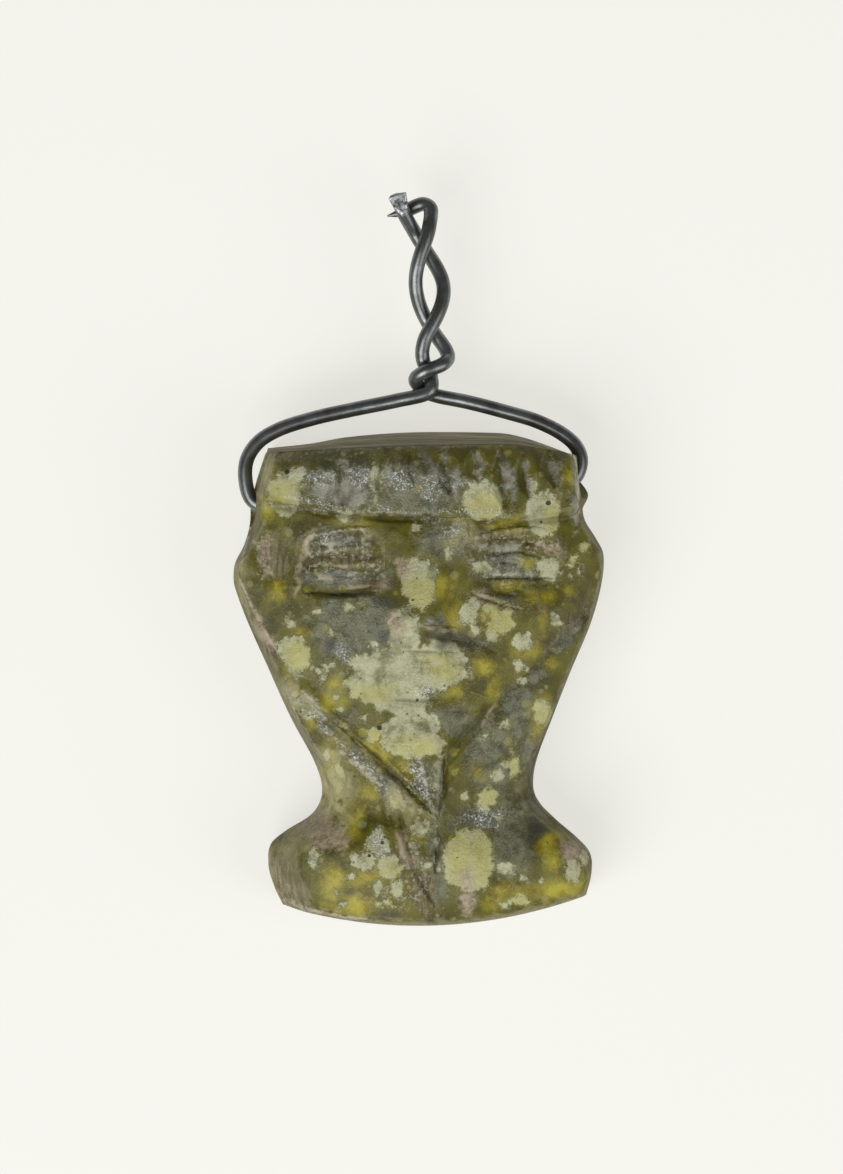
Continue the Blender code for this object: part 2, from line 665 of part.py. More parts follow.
def arm_points(start, arm, rises):
    """One arm from the hole to the knot, where it lies in front of the other arm or behind it."""
    points = [bore_height_point(place) for place in (start, *arm)]
    for point, rise in zip(points[-len(rises):], rises):
        point.z += rise * WIRE_DIAMETER
    return points


def wire_route():
    """The whole wire: one strand's end, down its stem and arm, through the stone, and up again."""
    knot = bore_height_point((KNOT_U, 1.0))
    knot.y += KNOT_RISE
    left_arm = arm_points(BORE_LEFT, LEFT_ARM, LEFT_RISES)
    right_arm = arm_points(BORE_RIGHT, RIGHT_ARM, RIGHT_RISES)
    inside = [left_arm[0].lerp(right_arm[0], share) for share in (0.1, 0.5, 0.9)]
    front_leg = left_arm + stem(True, knot)
    back_leg = right_arm + stem(False, knot)
    return smooth_route(front_leg[::-1] + inside + back_leg, WIRE_STEP)


def build_wire(collection):
    """The wire as a round tube along its route, nipped at one end and pointed at the other."""
    route = wire_route()
    plain = len(route) - len(NIPPED_END) - len(POINTED_END)
    shares = [*reversed(NIPPED_END), *([1.0] * plain), *POINTED_END]
    wire = round_wire("suspension_wire", route, WIRE_DIAMETER, shares, collection)
    wire.data.materials.append(material("dark_iron", (0.060, 0.062, 0.066), 0.38, 0.85))
    return wire


def main():
    clear_scene()
    amulet = new_collection("deity_amulet")
    cutters = new_collection("cutters")
    build_stone(amulet, cutters)
    wire = build_wire(amulet)
    bpy.context.view_layer.update()
    length = max(corner[1] for corner in wire.bound_box)
    for obj in [*amulet.objects, *cutters.objects]:
        obj.location.y = -length / 2


main()
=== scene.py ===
"""The looks of a carved green stone amulet that lies on its back, threaded on a twisted iron wire.

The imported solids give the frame: +X to the right and +Y up the face as seen from above, +Z out of
the carved face, in metres. The stone's form is given as shares of its own width and height: u runs
across from its middle line, v runs up from its lowest point. Its colours are placed by pixels of
the photograph, which looks straight down.
"""

import math
from functools import reduce
from itertools import chain

import bmesh
import bpy
import numpy as np
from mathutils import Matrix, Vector


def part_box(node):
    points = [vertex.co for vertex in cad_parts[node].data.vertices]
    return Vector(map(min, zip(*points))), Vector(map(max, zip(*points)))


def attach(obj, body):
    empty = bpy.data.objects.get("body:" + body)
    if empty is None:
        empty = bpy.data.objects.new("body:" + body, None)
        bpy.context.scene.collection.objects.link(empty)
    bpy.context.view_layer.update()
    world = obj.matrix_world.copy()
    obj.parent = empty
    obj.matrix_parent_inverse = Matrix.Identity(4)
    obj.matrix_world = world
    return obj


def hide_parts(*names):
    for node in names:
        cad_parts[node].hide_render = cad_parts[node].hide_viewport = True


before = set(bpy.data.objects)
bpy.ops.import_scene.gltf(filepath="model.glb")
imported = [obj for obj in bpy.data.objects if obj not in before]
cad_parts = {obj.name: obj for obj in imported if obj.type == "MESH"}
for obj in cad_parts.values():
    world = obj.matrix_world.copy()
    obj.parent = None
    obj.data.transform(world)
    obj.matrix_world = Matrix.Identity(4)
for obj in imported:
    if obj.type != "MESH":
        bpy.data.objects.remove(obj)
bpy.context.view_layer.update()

MM = 0.001
STONE_LOW, STONE_HIGH = (Vector(corner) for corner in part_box("stone_amulet"))
STONE_WIDTH = STONE_HIGH.x - STONE_LOW.x
STONE_HEIGHT = STONE_HIGH.y - STONE_LOW.y
STONE_BASE = STONE_LOW.y

# Sizes repeated from the solids
STONE_THICKNESS = 8.6 * MM
BACK_EDGE_RADIUS = 0.7 * MM
WIRE_DIAMETER = 0.76 * MM
BORE_CLEARANCE = 0.36 * MM
MOUTH_FLARE = 0.30 * MM
MOUTH_DEPTH = 0.70 * MM
ARM_CLEARANCE = 0.35 * MM
KNOT_RISE = 2.0 * MM

# The camera of the photograph
PHOTO_SIZE = (843, 1174)
PHOTO_CENTRE = Vector((0.158 * MM, -1.5 * MM, 4.0 * MM))
PHOTO_LONG_SIDE = 61.79 * MM  # what its long side shows at the height of PHOTO_CENTRE
LENS = 200.0
SENSOR = 36.0
CAMERA_DISTANCE = PHOTO_LONG_SIDE * LENS / SENSOR
FACE_LEVEL = 7.6 * MM  # the usual height of the carved face, where colours are placed
PIXEL = PHOTO_LONG_SIDE / PHOTO_SIZE[1] * (1 - (FACE_LEVEL - PHOTO_CENTRE.z) / CAMERA_DISTANCE)

FLOOR_HALF = 1.5
# Softboxes: place, size and radiance
SOFTBOXES = {
    "left_box": ((-0.20, -0.24, 0.42), (0.36, 0.40), 4.7),
    "right_box": ((0.34, -0.14, 0.34), (0.30, 0.40), 2.3),
}

# How finely the stone's surfaces are divided: columns over the left bevel, the face and the right
# bevel; rows over the base's bevel, the face, the step up to the hair band, the band, the top's bevel
COLUMNS = (14, 220, 12)
ROWS = (4, 224, 10, 60, 3)
WALL_ROWS = 12
BACK_EDGE_ROWS = 4
GRID_PASSES = 3          # how often the grid's lines are fitted to the bevels and the band's foot
MERGE_DISTANCE = 0.0001 * MM

# Outline of the front, as (v, u) up each side
LEFT_EDGE = (
    (0.038, -0.365), (0.077, -0.390), (0.126, -0.406), (0.158, -0.400), (0.186, -0.360),
    (0.215, -0.298), (0.243, -0.268), (0.271, -0.260), (0.320, -0.276), (0.417, -0.344),
    (0.514, -0.403), (0.660, -0.486), (0.700, -0.500), (0.733, -0.495), (0.767, -0.472),
    (0.806, -0.457), (0.848, -0.453), (0.895, -0.439), (0.960, -0.411),
)
RIGHT_EDGE = (
    (0.060, 0.452), (0.097, 0.465), (0.126, 0.468), (0.150, 0.457), (0.174, 0.427),
    (0.211, 0.371), (0.247, 0.325), (0.279, 0.309), (0.320, 0.314), (0.417, 0.360),
    (0.514, 0.411), (0.611, 0.465), (0.684, 0.492), (0.733, 0.500), (0.757, 0.496),
    (0.785, 0.476), (0.818, 0.449), (0.858, 0.440), (0.955, 0.427),
)
BASE_BOW = 0.30  # v of the bottom edge is this times u squared

# The top face leans: its front and back edges, as (u, v)
TOP_FRONT = (
    (-0.410, 0.953), (-0.200, 0.962), (0.020, 0.968), (0.220, 0.970), (0.360, 0.958), (0.430, 0.948),
)
TOP_BACK = (
    (-0.410, 0.967), (-0.290, 0.977), (-0.200, 0.989), (0.040, 1.000), (0.220, 0.998), (0.290, 0.988),
    (0.360, 0.970), (0.430, 0.950),
)

# The middle line's height above the back, as (v, share of the thickness)
MIDDLE_LINE = (
    (0.00, 0.78), (0.05, 0.83), (0.14, 0.85), (0.23, 0.80), (0.31, 0.83), (0.40, 0.88),
    (0.50, 0.90), (0.62, 0.91), (0.76, 0.91), (0.83, 0.90), (1.00, 0.88),
)
SIDE_FALL = 1.5 * MM
SIDE_FALL_POWER = 2.6

# Rims: where the front meets the walls, as (v, width in mm) of the worn bevel up each side
LEFT_BEVEL = (
    (0.00, 1.70), (0.14, 1.80), (0.19, 1.40), (0.24, 0.90), (0.32, 0.60), (0.44, 0.55),
    (0.52, 0.60), (0.62, 0.50), (0.72, 0.50), (0.80, 0.80), (0.90, 0.75), (1.00, 0.60),
)
RIGHT_BEVEL = (
    (0.00, 0.35), (0.13, 0.45), (0.20, 0.85), (0.27, 1.00), (0.34, 0.60), (0.44, 0.38),
    (0.70, 0.32), (0.78, 0.50), (1.00, 0.40),
)
BASE_BEVEL = 0.35 * MM
TOP_BEVEL = 0.12 * MM
TOP_MARGIN = 0.001  # how far over its front edge the top face starts to look planed, in v
# The rim on the left, on the right, at the base and at the top: its height as a share of the
# thickness, and the power by which its bevel falls to it, 1 for flat and 2 for round
RIMS = ((0.42, 1.35), (0.50, 2.0), (0.62, 2.0), (0.80, 2.0))
# Hollows: how far round a place the surface is averaged, in grid places, and how deep below that
# average counts as fully hollow
HOLLOWS = {"hollow": (3, 0.05 * MM), "broad_hollow": (9, 0.16 * MM)}
STEEP = (0.78, 0.38)  # z of the normal where slopes begin to look steep, and where they fully do; steep slopes are painted darker as shade and made rougher
SHARP_ANGLE = math.radians(42)
RIM_REACH = 0.12 * MM  # how far in from the outline the stone's thin edge is paler, from wear and from a painted glow
RIM_LOOPS = 3          # over how many loops of the walls it fades out below the rim
RIGHT_BULGE = (0.872, 0.036, 0.42 * MM)  # v, half height in v and reach of the lump under the mouth

# The hair band over the forehead
BAND_FOOT = (
    (-0.45, 0.866), (-0.32, 0.848), (-0.185, 0.829), (0.03, 0.820), (0.14, 0.816), (0.24, 0.816),
    (0.34, 0.824), (0.45, 0.836),
)  # (u, v) of its lower edge
BAND_CREST = 0.975         # share of the thickness
BAND_FLAT = (0.10, 0.55)   # shares of the way from its lower edge to the top between which it is flat
BAND_TOP_FALL = 4.9 * MM   # how fast it bends down towards its top edge
BAND_FOOT_FALL = 9.0 * MM  # the same towards its lower edge
BAND_SIDE_FALL = 0.75      # how much of the face's fall to the sides it has
BAND_STEP = 0.022          # v over which it drops to the forehead

# Hollows and swellings of the face and chest:
# middle (u, v), half size (u, v), turn in degrees, height in mm, edge softness as a share
PANELS = {
    "left eye": ((-0.210, 0.730), (0.105, 0.062), 3.0, -0.36, 0.30),
    "right eye": ((0.268, 0.722), (0.112, 0.064), -9.0, -0.36, 0.60),
    "left temple": ((-0.372, 0.738), (0.052, 0.046), 12.0, -0.17, 0.80),
    "brow": ((0.035, 0.775), (0.105, 0.040), 0.0, 0.10, 0.60),
    "left cheek": ((-0.200, 0.590), (0.150, 0.090), -10.0, 0.16, 0.80),
    "right cheek": ((0.240, 0.590), (0.130, 0.080), 12.0, 0.14, 0.80),
    "lips": ((0.010, 0.520), (0.085, 0.052), 0.0, 0.32, 0.60),
    "chin": ((0.000, 0.402), (0.085, 0.058), 0.0, 0.30, 0.70),
    "left chest": ((-0.200, 0.110), (0.130, 0.070), 6.0, 0.14, 0.90),
    "right chest": ((0.230, 0.130), (0.150, 0.080), -6.0, 0.16, 0.90),
}

# Ridges: start and end (u, v), half widths at both in mm, heights at both in mm
RIDGES = {
    "nose": ((0.004, 0.770), (0.006, 0.622), 0.95, 1.55, 0.24, 0.85),
    "beard": ((0.020, 0.370), (0.050, 0.240), 1.05, 0.45, 0.34, 0.22),
    "left strap": ((-0.325, 0.466), (0.036, 0.212), 0.85, 0.85, 0.34, 0.40),
    "right strap": ((0.440, 0.590), (0.062, 0.240), 0.90, 0.85, 0.20, 0.26),
}
RIDGE_REACH = 1.25  # how far from its middle line a ridge ends, in half widths

# Notches cut into the hair band, in the photograph's pixels: where each starts under the top edge
# and where it ends, its width, then its depth in mm, and how far its bottom lies to the left of its
# middle, in half widths
HAIR_NOTCHES = (
    (343, 457, 345, 512, 22, 0.32, 0.30), (386, 456, 380, 497, 19, 0.30, 0.45),
    (410, 450, 413, 484, 15, 0.22, 0.30), (447, 449, 452, 497, 28, 0.42, 0.30),
    (476, 447, 478, 486, 27, 0.42, 0.15), (502, 446, 506, 513, 27, 0.48, 0.15),
    (523, 450, 529, 501, 23, 0.42, 0.15), (549, 448, 555, 490, 23, 0.42, 0.15),
)

# Strokes of the carver's tool, in the photograph's pixels: from and to, its bend to the left of the
# way it runs and its width, then its depth in mm
STROKES = {
    "foot of the hair band": (
        (345, 515, 468, 517, -3, 10, 0.30), (296, 506, 352, 516, -3, 8, 0.10),
        (468, 515, 469, 538, 0, 5, 0.16),
    ),
    "left eye": (
        (306, 535, 374, 525, 2, 8, 0.20), (304, 558, 386, 557, 1, 17, 0.20),
        (312, 566, 372, 569, 0, 5, 0.08), (314, 541, 360, 537, 0, 4, 0.05),
        (312, 578, 372, 576, 0, 5, 0.05), (298, 592, 384, 591, -2, 9, 0.24),
        (340, 590, 396, 580, -2, 6, 0.10), (262, 538, 262, 576, 0, 9, 0.12),
        (300, 584, 291, 602, 0, 6, 0.10),
    ),
    "right eye": (
        (473, 536, 548, 527, 5, 6, 0.22), (474, 547, 540, 546, 9, 6, 0.12),
        (508, 541, 562, 556, 4, 5, 0.10), (471, 559, 556, 564, 10, 7, 0.15),
        (484, 566, 530, 568, 4, 5, 0.10), (482, 580, 560, 579, 2, 8, 0.22),
        (488, 589, 530, 596, -3, 6, 0.10), (467, 590, 528, 611, -3, 8, 0.22),
        (534, 541, 566, 556, 3, 7, 0.16),
    ),
    "nose and right cheek": (
        (421, 625, 460, 628, 0, 8, 0.16), (402, 612, 386, 628, 0, 8, 0.10),
        (427, 637, 502, 655, 4, 18, 0.22),
    ),
    "mouth and lip": (
        (398, 651, 448, 652, 0, 8, 0.07), (388, 700, 446, 700, -2, 14, 0.06),
        (443, 711, 476, 712, 0, 5, 0.08),
    ),
    "jaw and straps": (
        (288, 682, 380, 764, 1, 6, 0.18), (350, 732, 442, 822, 0, 13, 0.40),
        (506, 694, 440, 774, -6, 22, 0.36), (594, 604, 502, 700, 0, 11, 0.09),
        (598, 620, 514, 700, 0, 14, 0.07),
    ),
    "beard": (
        (445, 748, 438, 821, 2, 10, 0.34), (405, 765, 424, 800, 0, 5, 0.10),
        (424, 756, 432, 800, 0, 5, 0.10),
    ),
    "throat and neck": (
        (396, 799, 440, 916, -7, 11, 0.32), (440, 830, 434, 878, 0, 10, 0.30),
        (379, 796, 392, 838, 0, 7, 0.09), (389, 799, 395, 832, 0, 11, 0.13),
    ),
}
STROKE_PROUD = 0.10  # how far the tool stays lifted off the surface, in the stroke's depth
STROKE_POINT = 0.7   # how bluntly a stroke comes to its ends

# Relief finer than the solids: cell size across and up in mm, height in mm, seed
FACE_LUMPS = (
    (3.2, 2.8, 0.050, 11), (1.3, 1.1, 0.022, 12), (0.55, 0.50, 0.010, 13), (0.30, 0.28, 0.0055, 14),
)
FACET_LINES = ((0.16, 2.6, 0.016, 21), (0.34, 3.4, 0.022, 22))
BAND_HAIRS = ((0.20, 1.9, 0.010, 31),)
WALL_LUMPS = ((2.2, 1.6, 0.06, 41), (0.5, 0.4, 0.016, 42), (0.9, 0.14, 0.012, 43))
LUMP_CELLS = 97              # lumps repeat after this many cells
FACET_WEAR = 0.6             # how much of the face's lumps is worn off the dull facets
FACET_BLEND = 1.6            # above 1, the left facet is wholly dull before its outer edge
UPPER_FACET = 0.35           # how dull the left facet is above the shoulder
SHOULDER_TOP = (0.25, 0.06)  # v where that starts, and over how much of v it changes
# How much outlines waver: the size of the waves in mm, then for strokes, patches and lines how
# far out the broad and the fine ones reach in mm, and the seed
WAVER_CELLS = (0.75, 0.26)
STROKE_WAVER = (0.05, 0.025, 51)
PATCH_WAVER = (0.15, 0.08, 61)
LINE_WAVER = (0.04, 0.04, 71)

# Where the hole runs: (u, v) just inside its two mouths, and its height in thicknesses
BORE_LEFT = (-0.424, 0.848)
BORE_RIGHT = (0.418, 0.902)
BORE_RISE = 0.47

# The wire's arms from the hole over the shoulders, as (u, v) from the mouths to the knot
LEFT_ARM = (
    (-0.452, 0.862), (-0.467, 0.900), (-0.463, 0.941), (-0.433, 0.976), (-0.380, 1.001),
    (-0.287, 1.024), (-0.174, 1.043), (-0.061, 1.060),
)
RIGHT_ARM = (
    (0.433, 0.918), (0.438, 0.944), (0.423, 0.970), (0.386, 0.994), (0.319, 1.019),
    (0.244, 1.036), (0.131, 1.058), (0.053, 1.070),
)
INSIDE_SHARES = (0.1, 0.5, 0.9)  # shares of the way through the hole where the wire has a point
GROOVE_POINTS = 5  # how many of them lie along the groove that each arm sits in
GROOVE_STEP = 0.2 * MM
CUTTER_RESOLUTION = 8
LEFT_RISES = (0.06, 0.24)     # how far the last points lie above the hole, in wire diameters
RIGHT_RISES = (-0.16, -0.52)

# The wire's stem, in wire diameters from the knot, each against height: its half turns, the drift
# (x) and lean (z) of its middle line, and half the gap between its strands in x and in z
KNOT_U = 0.031
HALF_TURNS = (
    (0.0, 0.0), (0.8, 0.5), (1.55, 1.0), (2.25, 1.5), (2.7, 1.61), (4.5, 2.0), (7.3, 2.5), (10.1, 3.0),
    (15.2, 4.0),
)
STEM_DRIFT = (
    (0.0, -0.12), (0.95, -0.46), (1.55, -0.08), (2.25, 0.38), (2.85, 0.31), (3.9, 0.10), (4.5, 0.07),
    (7.3, -0.02), (10.1, -0.45), (11.5, -0.65), (12.3, -0.80),
)
STEM_LEAN = ((0.0, -0.20), (0.8, 0.0), (1.55, 0.20), (2.7, 0.0))
STEM_SPREAD = (
    (0.0, 0.56), (1.0, 0.56), (2.3, 0.87), (3.2, 0.95), (7.3, 0.96), (10.1, 0.86), (11.5, 0.81),
)
STEM_DEPTH = ((0.0, 0.60), (1.55, 0.60), (4.5, 0.54))
STEM_POINTS = 25
STEM_ENDS = (11.0, 11.6)  # of the front strand and of the back strand
# The tails of its two strands, as (x, height, z)
FRONT_TAIL = ((-1.74, 12.26, 0.34), (-2.06, 13.00, 0.80), (-2.23, 13.50, 1.10))
BACK_TAIL = (
    (0.06, 12.25, 0.00), (0.03, 12.78, -0.26), (-0.45, 13.08, -0.50), (-1.45, 12.73, -0.74),
    (-2.20, 12.45, -0.80), (-2.96, 12.27, -0.82),
)
WIRE_STEP = 0.08 * MM
ROUTE_FINENESS = 8       # how finely a route is traced before it is cut into its steps
WIRE_RESOLUTION = 6
WIRE_SHARP_ANGLE = math.radians(50)
POINT_LENGTH = 1.2 * MM  # how far back the pointed end's taper reaches
POINT_TIP = 0.12         # how thick its tip is, as a share of the wire
POINT_CURVE = 0.8        # below 1, the taper bulges
NIP_LENGTH = 0.98 * MM   # how far back the slanting cut of the nipped end reaches
NIP_POINTS = 8           # how many of the route's points give the direction of that end
NIP_SPREAD = 0.30        # how much wider the wire is at that end
NIP_BLADE = 0.40         # how thick it is left there, as a share of its thickness
NIP_LUMPS = ((0.22, 0.22, 0.035, 81), (0.10, 0.10, 0.020, 82))

# Patches of colour in the stone, in the photograph's pixels: middle, half sizes, and how far some
# are turned anticlockwise in degrees
PATCHES = {
    "pale": (
        (285, 495, 18, 22), (297, 474, 8, 8), (483, 500, 19, 22), (545, 514, 19, 23), (532, 490, 4, 12),
        (480, 472, 4, 8, 20), (346, 516, 9, 6), (375, 480, 5, 17), (416, 527, 4, 6), (419, 582, 19, 26),
        (434, 572, 6, 10), (447, 553, 4, 7, -20), (551, 568, 12, 14), (482, 569, 8, 6, 15),
        (470, 609, 9, 15, -10), (475, 629, 5, 7), (522, 641, 10, 10), (491, 607, 9, 7),
        (500, 622, 14, 12, 10), (492, 636, 7, 7), (509, 612, 5, 5), (520, 664, 5, 6), (529, 668, 4, 4),
        (522, 681, 5, 4), (557, 621, 6, 6), (295, 653, 16, 20, 15), (297, 671, 8, 8), (325, 674, 7, 9),
        (316, 667, 4, 4), (331, 668, 4, 4), (405, 636, 16, 28), (408, 670, 59, 25), (376, 684, 33, 18),
        (442, 659, 25, 19, -20), (402, 702, 30, 12), (411, 735, 30, 27), (432, 745, 14, 14),
        (375, 736, 9, 8), (348, 726, 4, 5), (367, 719, 4, 4), (305, 706, 14, 12, 35), (334, 699, 4, 4),
        (339, 710, 4, 3), (340, 770, 5, 10, 8), (326, 756, 4, 6), (399, 802, 8, 10), (418, 826, 10, 8),
        (415, 847, 5, 9), (423, 866, 6, 4), (379, 846, 11, 13), (362, 862, 12, 9), (390, 866, 14, 12),
        (376, 888, 6, 9), (396, 890, 7, 9), (387, 905, 10, 4), (342, 904, 6, 5), (337, 892, 3, 3),
        (353, 878, 4, 3), (314, 858, 6, 11, -15), (469, 862, 26, 32), (464, 799, 5, 5), (490, 797, 11, 10),
        (486, 807, 5, 6), (500, 820, 3, 3), (505, 869, 9, 6), (523, 878, 5, 4), (540, 879, 3, 3),
        (574, 873, 9, 11), (586, 857, 6, 10), (520, 901, 12, 5, 10), (507, 909, 6, 3), (544, 715, 8, 14),
        (516, 769, 6, 12), (506, 765, 5, 5), (496, 777, 5, 5), (514, 751, 3, 4), (506, 726, 5, 5),
        (486, 736, 3, 2), (290, 621, 5, 5), (315, 614, 4, 4), (349, 607, 4, 4), (361, 605, 3, 3),
        (332, 632, 4, 4), (371, 645, 4, 4), (586, 547, 3, 7, -35), (575, 560, 4, 7, -40), (583, 571, 2, 4),
        (571, 575, 2, 3),
    ),
    "cream": (
        (586, 547, 4, 8, -35), (575, 560, 4, 7, -40), (268, 505, 13, 12), (280, 495, 13, 13),
        (484, 508, 17, 14), (555, 517, 9, 17), (421, 592, 17, 15), (497, 618, 18, 18), (297, 655, 12, 14),
        (375, 738, 8, 8), (416, 748, 20, 12), (460, 860, 12, 26), (482, 862, 12, 28), (490, 799, 10, 9),
        (544, 718, 8, 12), (516, 770, 6, 10), (390, 870, 12, 8), (387, 905, 9, 4), (520, 901, 12, 5, 10),
        (289, 848, 9, 17, 10), (372, 692, 20, 8), (440, 668, 16, 10, -20),
    ),
    "gold": (
        (265, 507, 10, 10), (300, 632, 6, 5), (569, 474, 3, 10), (366, 518, 4, 4), (510, 524, 13, 5),
        (528, 562, 8, 7), (507, 585, 9, 5), (549, 598, 5, 5), (571, 591, 4, 4), (453, 615, 7, 12, 20),
        (493, 617, 13, 13), (545, 625, 3, 5), (526, 650, 9, 4), (483, 667, 8, 7), (454, 690, 8, 5),
        (495, 690, 3, 7), (550, 666, 3, 3), (536, 731, 5, 8), (542, 712, 7, 14, -20), (277, 590, 5, 7),
        (337, 686, 10, 8), (330, 702, 14, 9), (384, 752, 5, 13), (374, 745, 7, 8), (309, 727, 4, 5),
        (330, 746, 4, 6), (330, 770, 8, 5), (371, 795, 4, 8), (356, 815, 6, 17, -8), (354, 823, 6, 13),
        (350, 904, 20, 11), (333, 898, 8, 10), (375, 871, 7, 7), (362, 880, 14, 9), (336, 882, 16, 12),
        (547, 843, 10, 11), (556, 862, 6, 8), (561, 836, 8, 7), (552, 891, 34, 10, 8), (576, 882, 10, 9),
        (503, 892, 9, 6), (495, 904, 8, 6), (520, 897, 12, 6), (440, 585, 12, 12), (493, 444, 4, 3),
        (477, 770, 4, 7, 20), (405, 770, 8, 12, 40), (530, 600, 7, 4), (416, 838, 5, 5), (404, 745, 8, 7),
        (292, 668, 8, 7, 15), (347, 524, 7, 3),
    ),
    "mist": (
        (334, 790, 19, 42, 4), (302, 836, 18, 12, 25), (300, 700, 12, 20, 42), (285, 845, 16, 7, 20),
        (402, 806, 7, 18, 40), (462, 535, 10, 8), (241, 575, 4, 18, 10), (264, 470, 8, 20, 12),
    ),
    "scuffed": (
        (343, 484, 9, 26), (391, 474, 5, 15, -10), (274, 560, 16, 22), (280, 454, 24, 8, 4),
        (255, 480, 6, 32, 10), (572, 622, 4, 30, -38), (376, 583, 14, 9), (541, 605, 12, 6, -20),
        (575, 850, 12, 12), (285, 880, 16, 34, 20), (264, 636, 8, 30, 25), (342, 557, 36, 8),
        (506, 535, 34, 8, 6), (500, 604, 16, 6, -20), (424, 890, 14, 24),
    ),
    # Painted glints: bright specks on the polished band and along lit edges and ridges
    "painted_glints": (
        (316, 477, 16, 5, -5), (360, 476, 10, 9), (402, 478, 13, 9), (430, 488, 10, 11),
        (318, 503, 18, 2, -14), (372, 512, 40, 2, -4), (464, 512, 20, 2), (421, 782, 5, 26, 22),
        (362, 768, 5, 24, 43), (312, 716, 3, 20, 43), (486, 820, 20, 9), (344, 654, 7, 8),
        (455, 531, 10, 4), (327, 542, 5, 6), (432, 690, 12, 5, 10), (380, 846, 6, 12), (430, 484, 30, 3),
    ),
    "pink": (
        (265, 557, 4, 15, -8), (332, 837, 15, 9, 35), (549, 548, 13, 4, -25), (480, 592, 8, 4, 20),
        (404, 568, 7, 7), (467, 884, 6, 14), (467, 902, 8, 11), (573, 852, 9, 11), (403, 843, 5, 12, 15),
        (410, 860, 5, 12, 25), (264, 636, 5, 14, 25), (318, 828, 16, 15, 20), (338, 843, 10, 7),
        (398, 622, 9, 9),
    ),
    # Painted shade: dark olive laid in grooves and notches, under the hair band and its top edge, and on
    # slopes turned away from the lamps
    "painted_shade": (
        (586, 568, 12, 26, -10), (522, 856, 14, 22), (278, 622, 10, 16, 25), (545, 690, 10, 22, -25),
        (330, 512, 26, 5, -10), (470, 735, 9, 46, -42), (578, 590, 12, 36, -8), (556, 660, 12, 30, -35),
        (262, 600, 10, 26, 8), (312, 517, 34, 7, -12), (400, 449, 150, 6, 2), (494, 470, 5, 24),
        (519, 468, 5, 22), (541, 468, 5, 18), (467, 468, 5, 16, 15), (566, 476, 5, 22), (400, 548, 22, 30),
        (392, 596, 14, 12), (360, 706, 16, 12), (545, 745, 10, 34, -15), (300, 905, 30, 14),
        (300, 860, 12, 16), (358, 830, 10, 20, 20), (470, 905, 20, 10), (520, 835, 24, 8, -20),
        (448, 800, 9, 26, 5), (408, 784, 5, 34, 44), (368, 738, 5, 14, 44), (306, 760, 6, 26, 28),
        (450, 560, 16, 16), (566, 530, 12, 18), (328, 640, 30, 12, -20),
    ),
    # Grey of the cut facets, together with painted grey sheen on them
    "grey_facets_and_sheen": (
        (388, 788, 14, 8, -40), (325, 731, 10, 7), (366, 480, 5, 18), (431, 466, 4, 15, 25),
        (531, 762, 6, 34), (541, 808, 15, 8, -35), (344, 578, 36, 7), (436, 621, 14, 5),
        (505, 560, 32, 7, 8), (520, 575, 26, 4), (515, 600, 16, 5, -12), (566, 636, 8, 26, -38),
        (535, 675, 6, 18, -48), (424, 784, 5, 26, 12), (456, 641, 30, 6, -10), (297, 745, 16, 40, 26),
    ),
    # Painted light: the walls of the notches and the ledges that face the lamps, laid lighter over the grey
    # of the cut facets
    "painted_lit_facets": (
        (447, 461, 3, 11, 12), (456, 484, 4, 12, -12), (480, 465, 4, 15, 20), (507, 480, 6, 28, 8),
        (527, 474, 4, 20, 8), (556, 474, 5, 18, 12), (576, 502, 4, 28), (386, 476, 4, 14, 5),
        (344, 486, 5, 22), (342, 541, 22, 5, 4), (440, 784, 4, 22, 10), (340, 493, 34, 11, -6),
        (318, 476, 14, 5, -5), (500, 574, 20, 3), (498, 546, 26, 4),
    ),
    # Pale grains together with painted glints, on the eyes, the notches, the beard's ridge, the strap and
    # the chest
    "pale_grains_and_glints": (
        (343, 562, 42, 20), (342, 543, 26, 6), (515, 556, 46, 30), (265, 560, 8, 22), (488, 612, 20, 16),
        (420, 790, 18, 28, 20), (345, 482, 6, 24), (390, 476, 8, 14), (300, 700, 12, 20, 42),
        (400, 880, 30, 30), (360, 450, 60, 3, 4),
    ),
    # Painted sheen: the grey of polished stone reflecting the lamps, laid on the flat parts that face them
    "film": (
        (385, 487, 90, 24, -3), (444, 540, 26, 17), (352, 628, 42, 36), (386, 640, 14, 28),
        (490, 820, 42, 15, 10), (510, 850, 22, 26, 20), (450, 720, 21, 15), (492, 758, 26, 44),
        (340, 540, 30, 8, 4), (345, 578, 38, 9), (437, 621, 15, 6), (515, 568, 34, 14), (440, 880, 10, 18),
        (436, 850, 8, 30), (520, 720, 16, 22), (424, 780, 6, 26, 22), (384, 787, 18, 12, -40),
        (520, 700, 18, 16), (345, 718, 12, 10),
    ),
    # Blue-black stains, and blue-black painted shade beside the neck and under the nose
    "ink": (
        (445, 645, 7, 6), (384, 636, 6, 7), (330, 645, 5, 8, -20), (536, 824, 14, 9, -25), (533, 838, 8, 9),
        (455, 636, 22, 4, -10), (386, 602, 14, 6, -20), (384, 917, 12, 3),
    ),
}
LINE_REACH = 1.4  # how far from its middle a line ends, in half widths
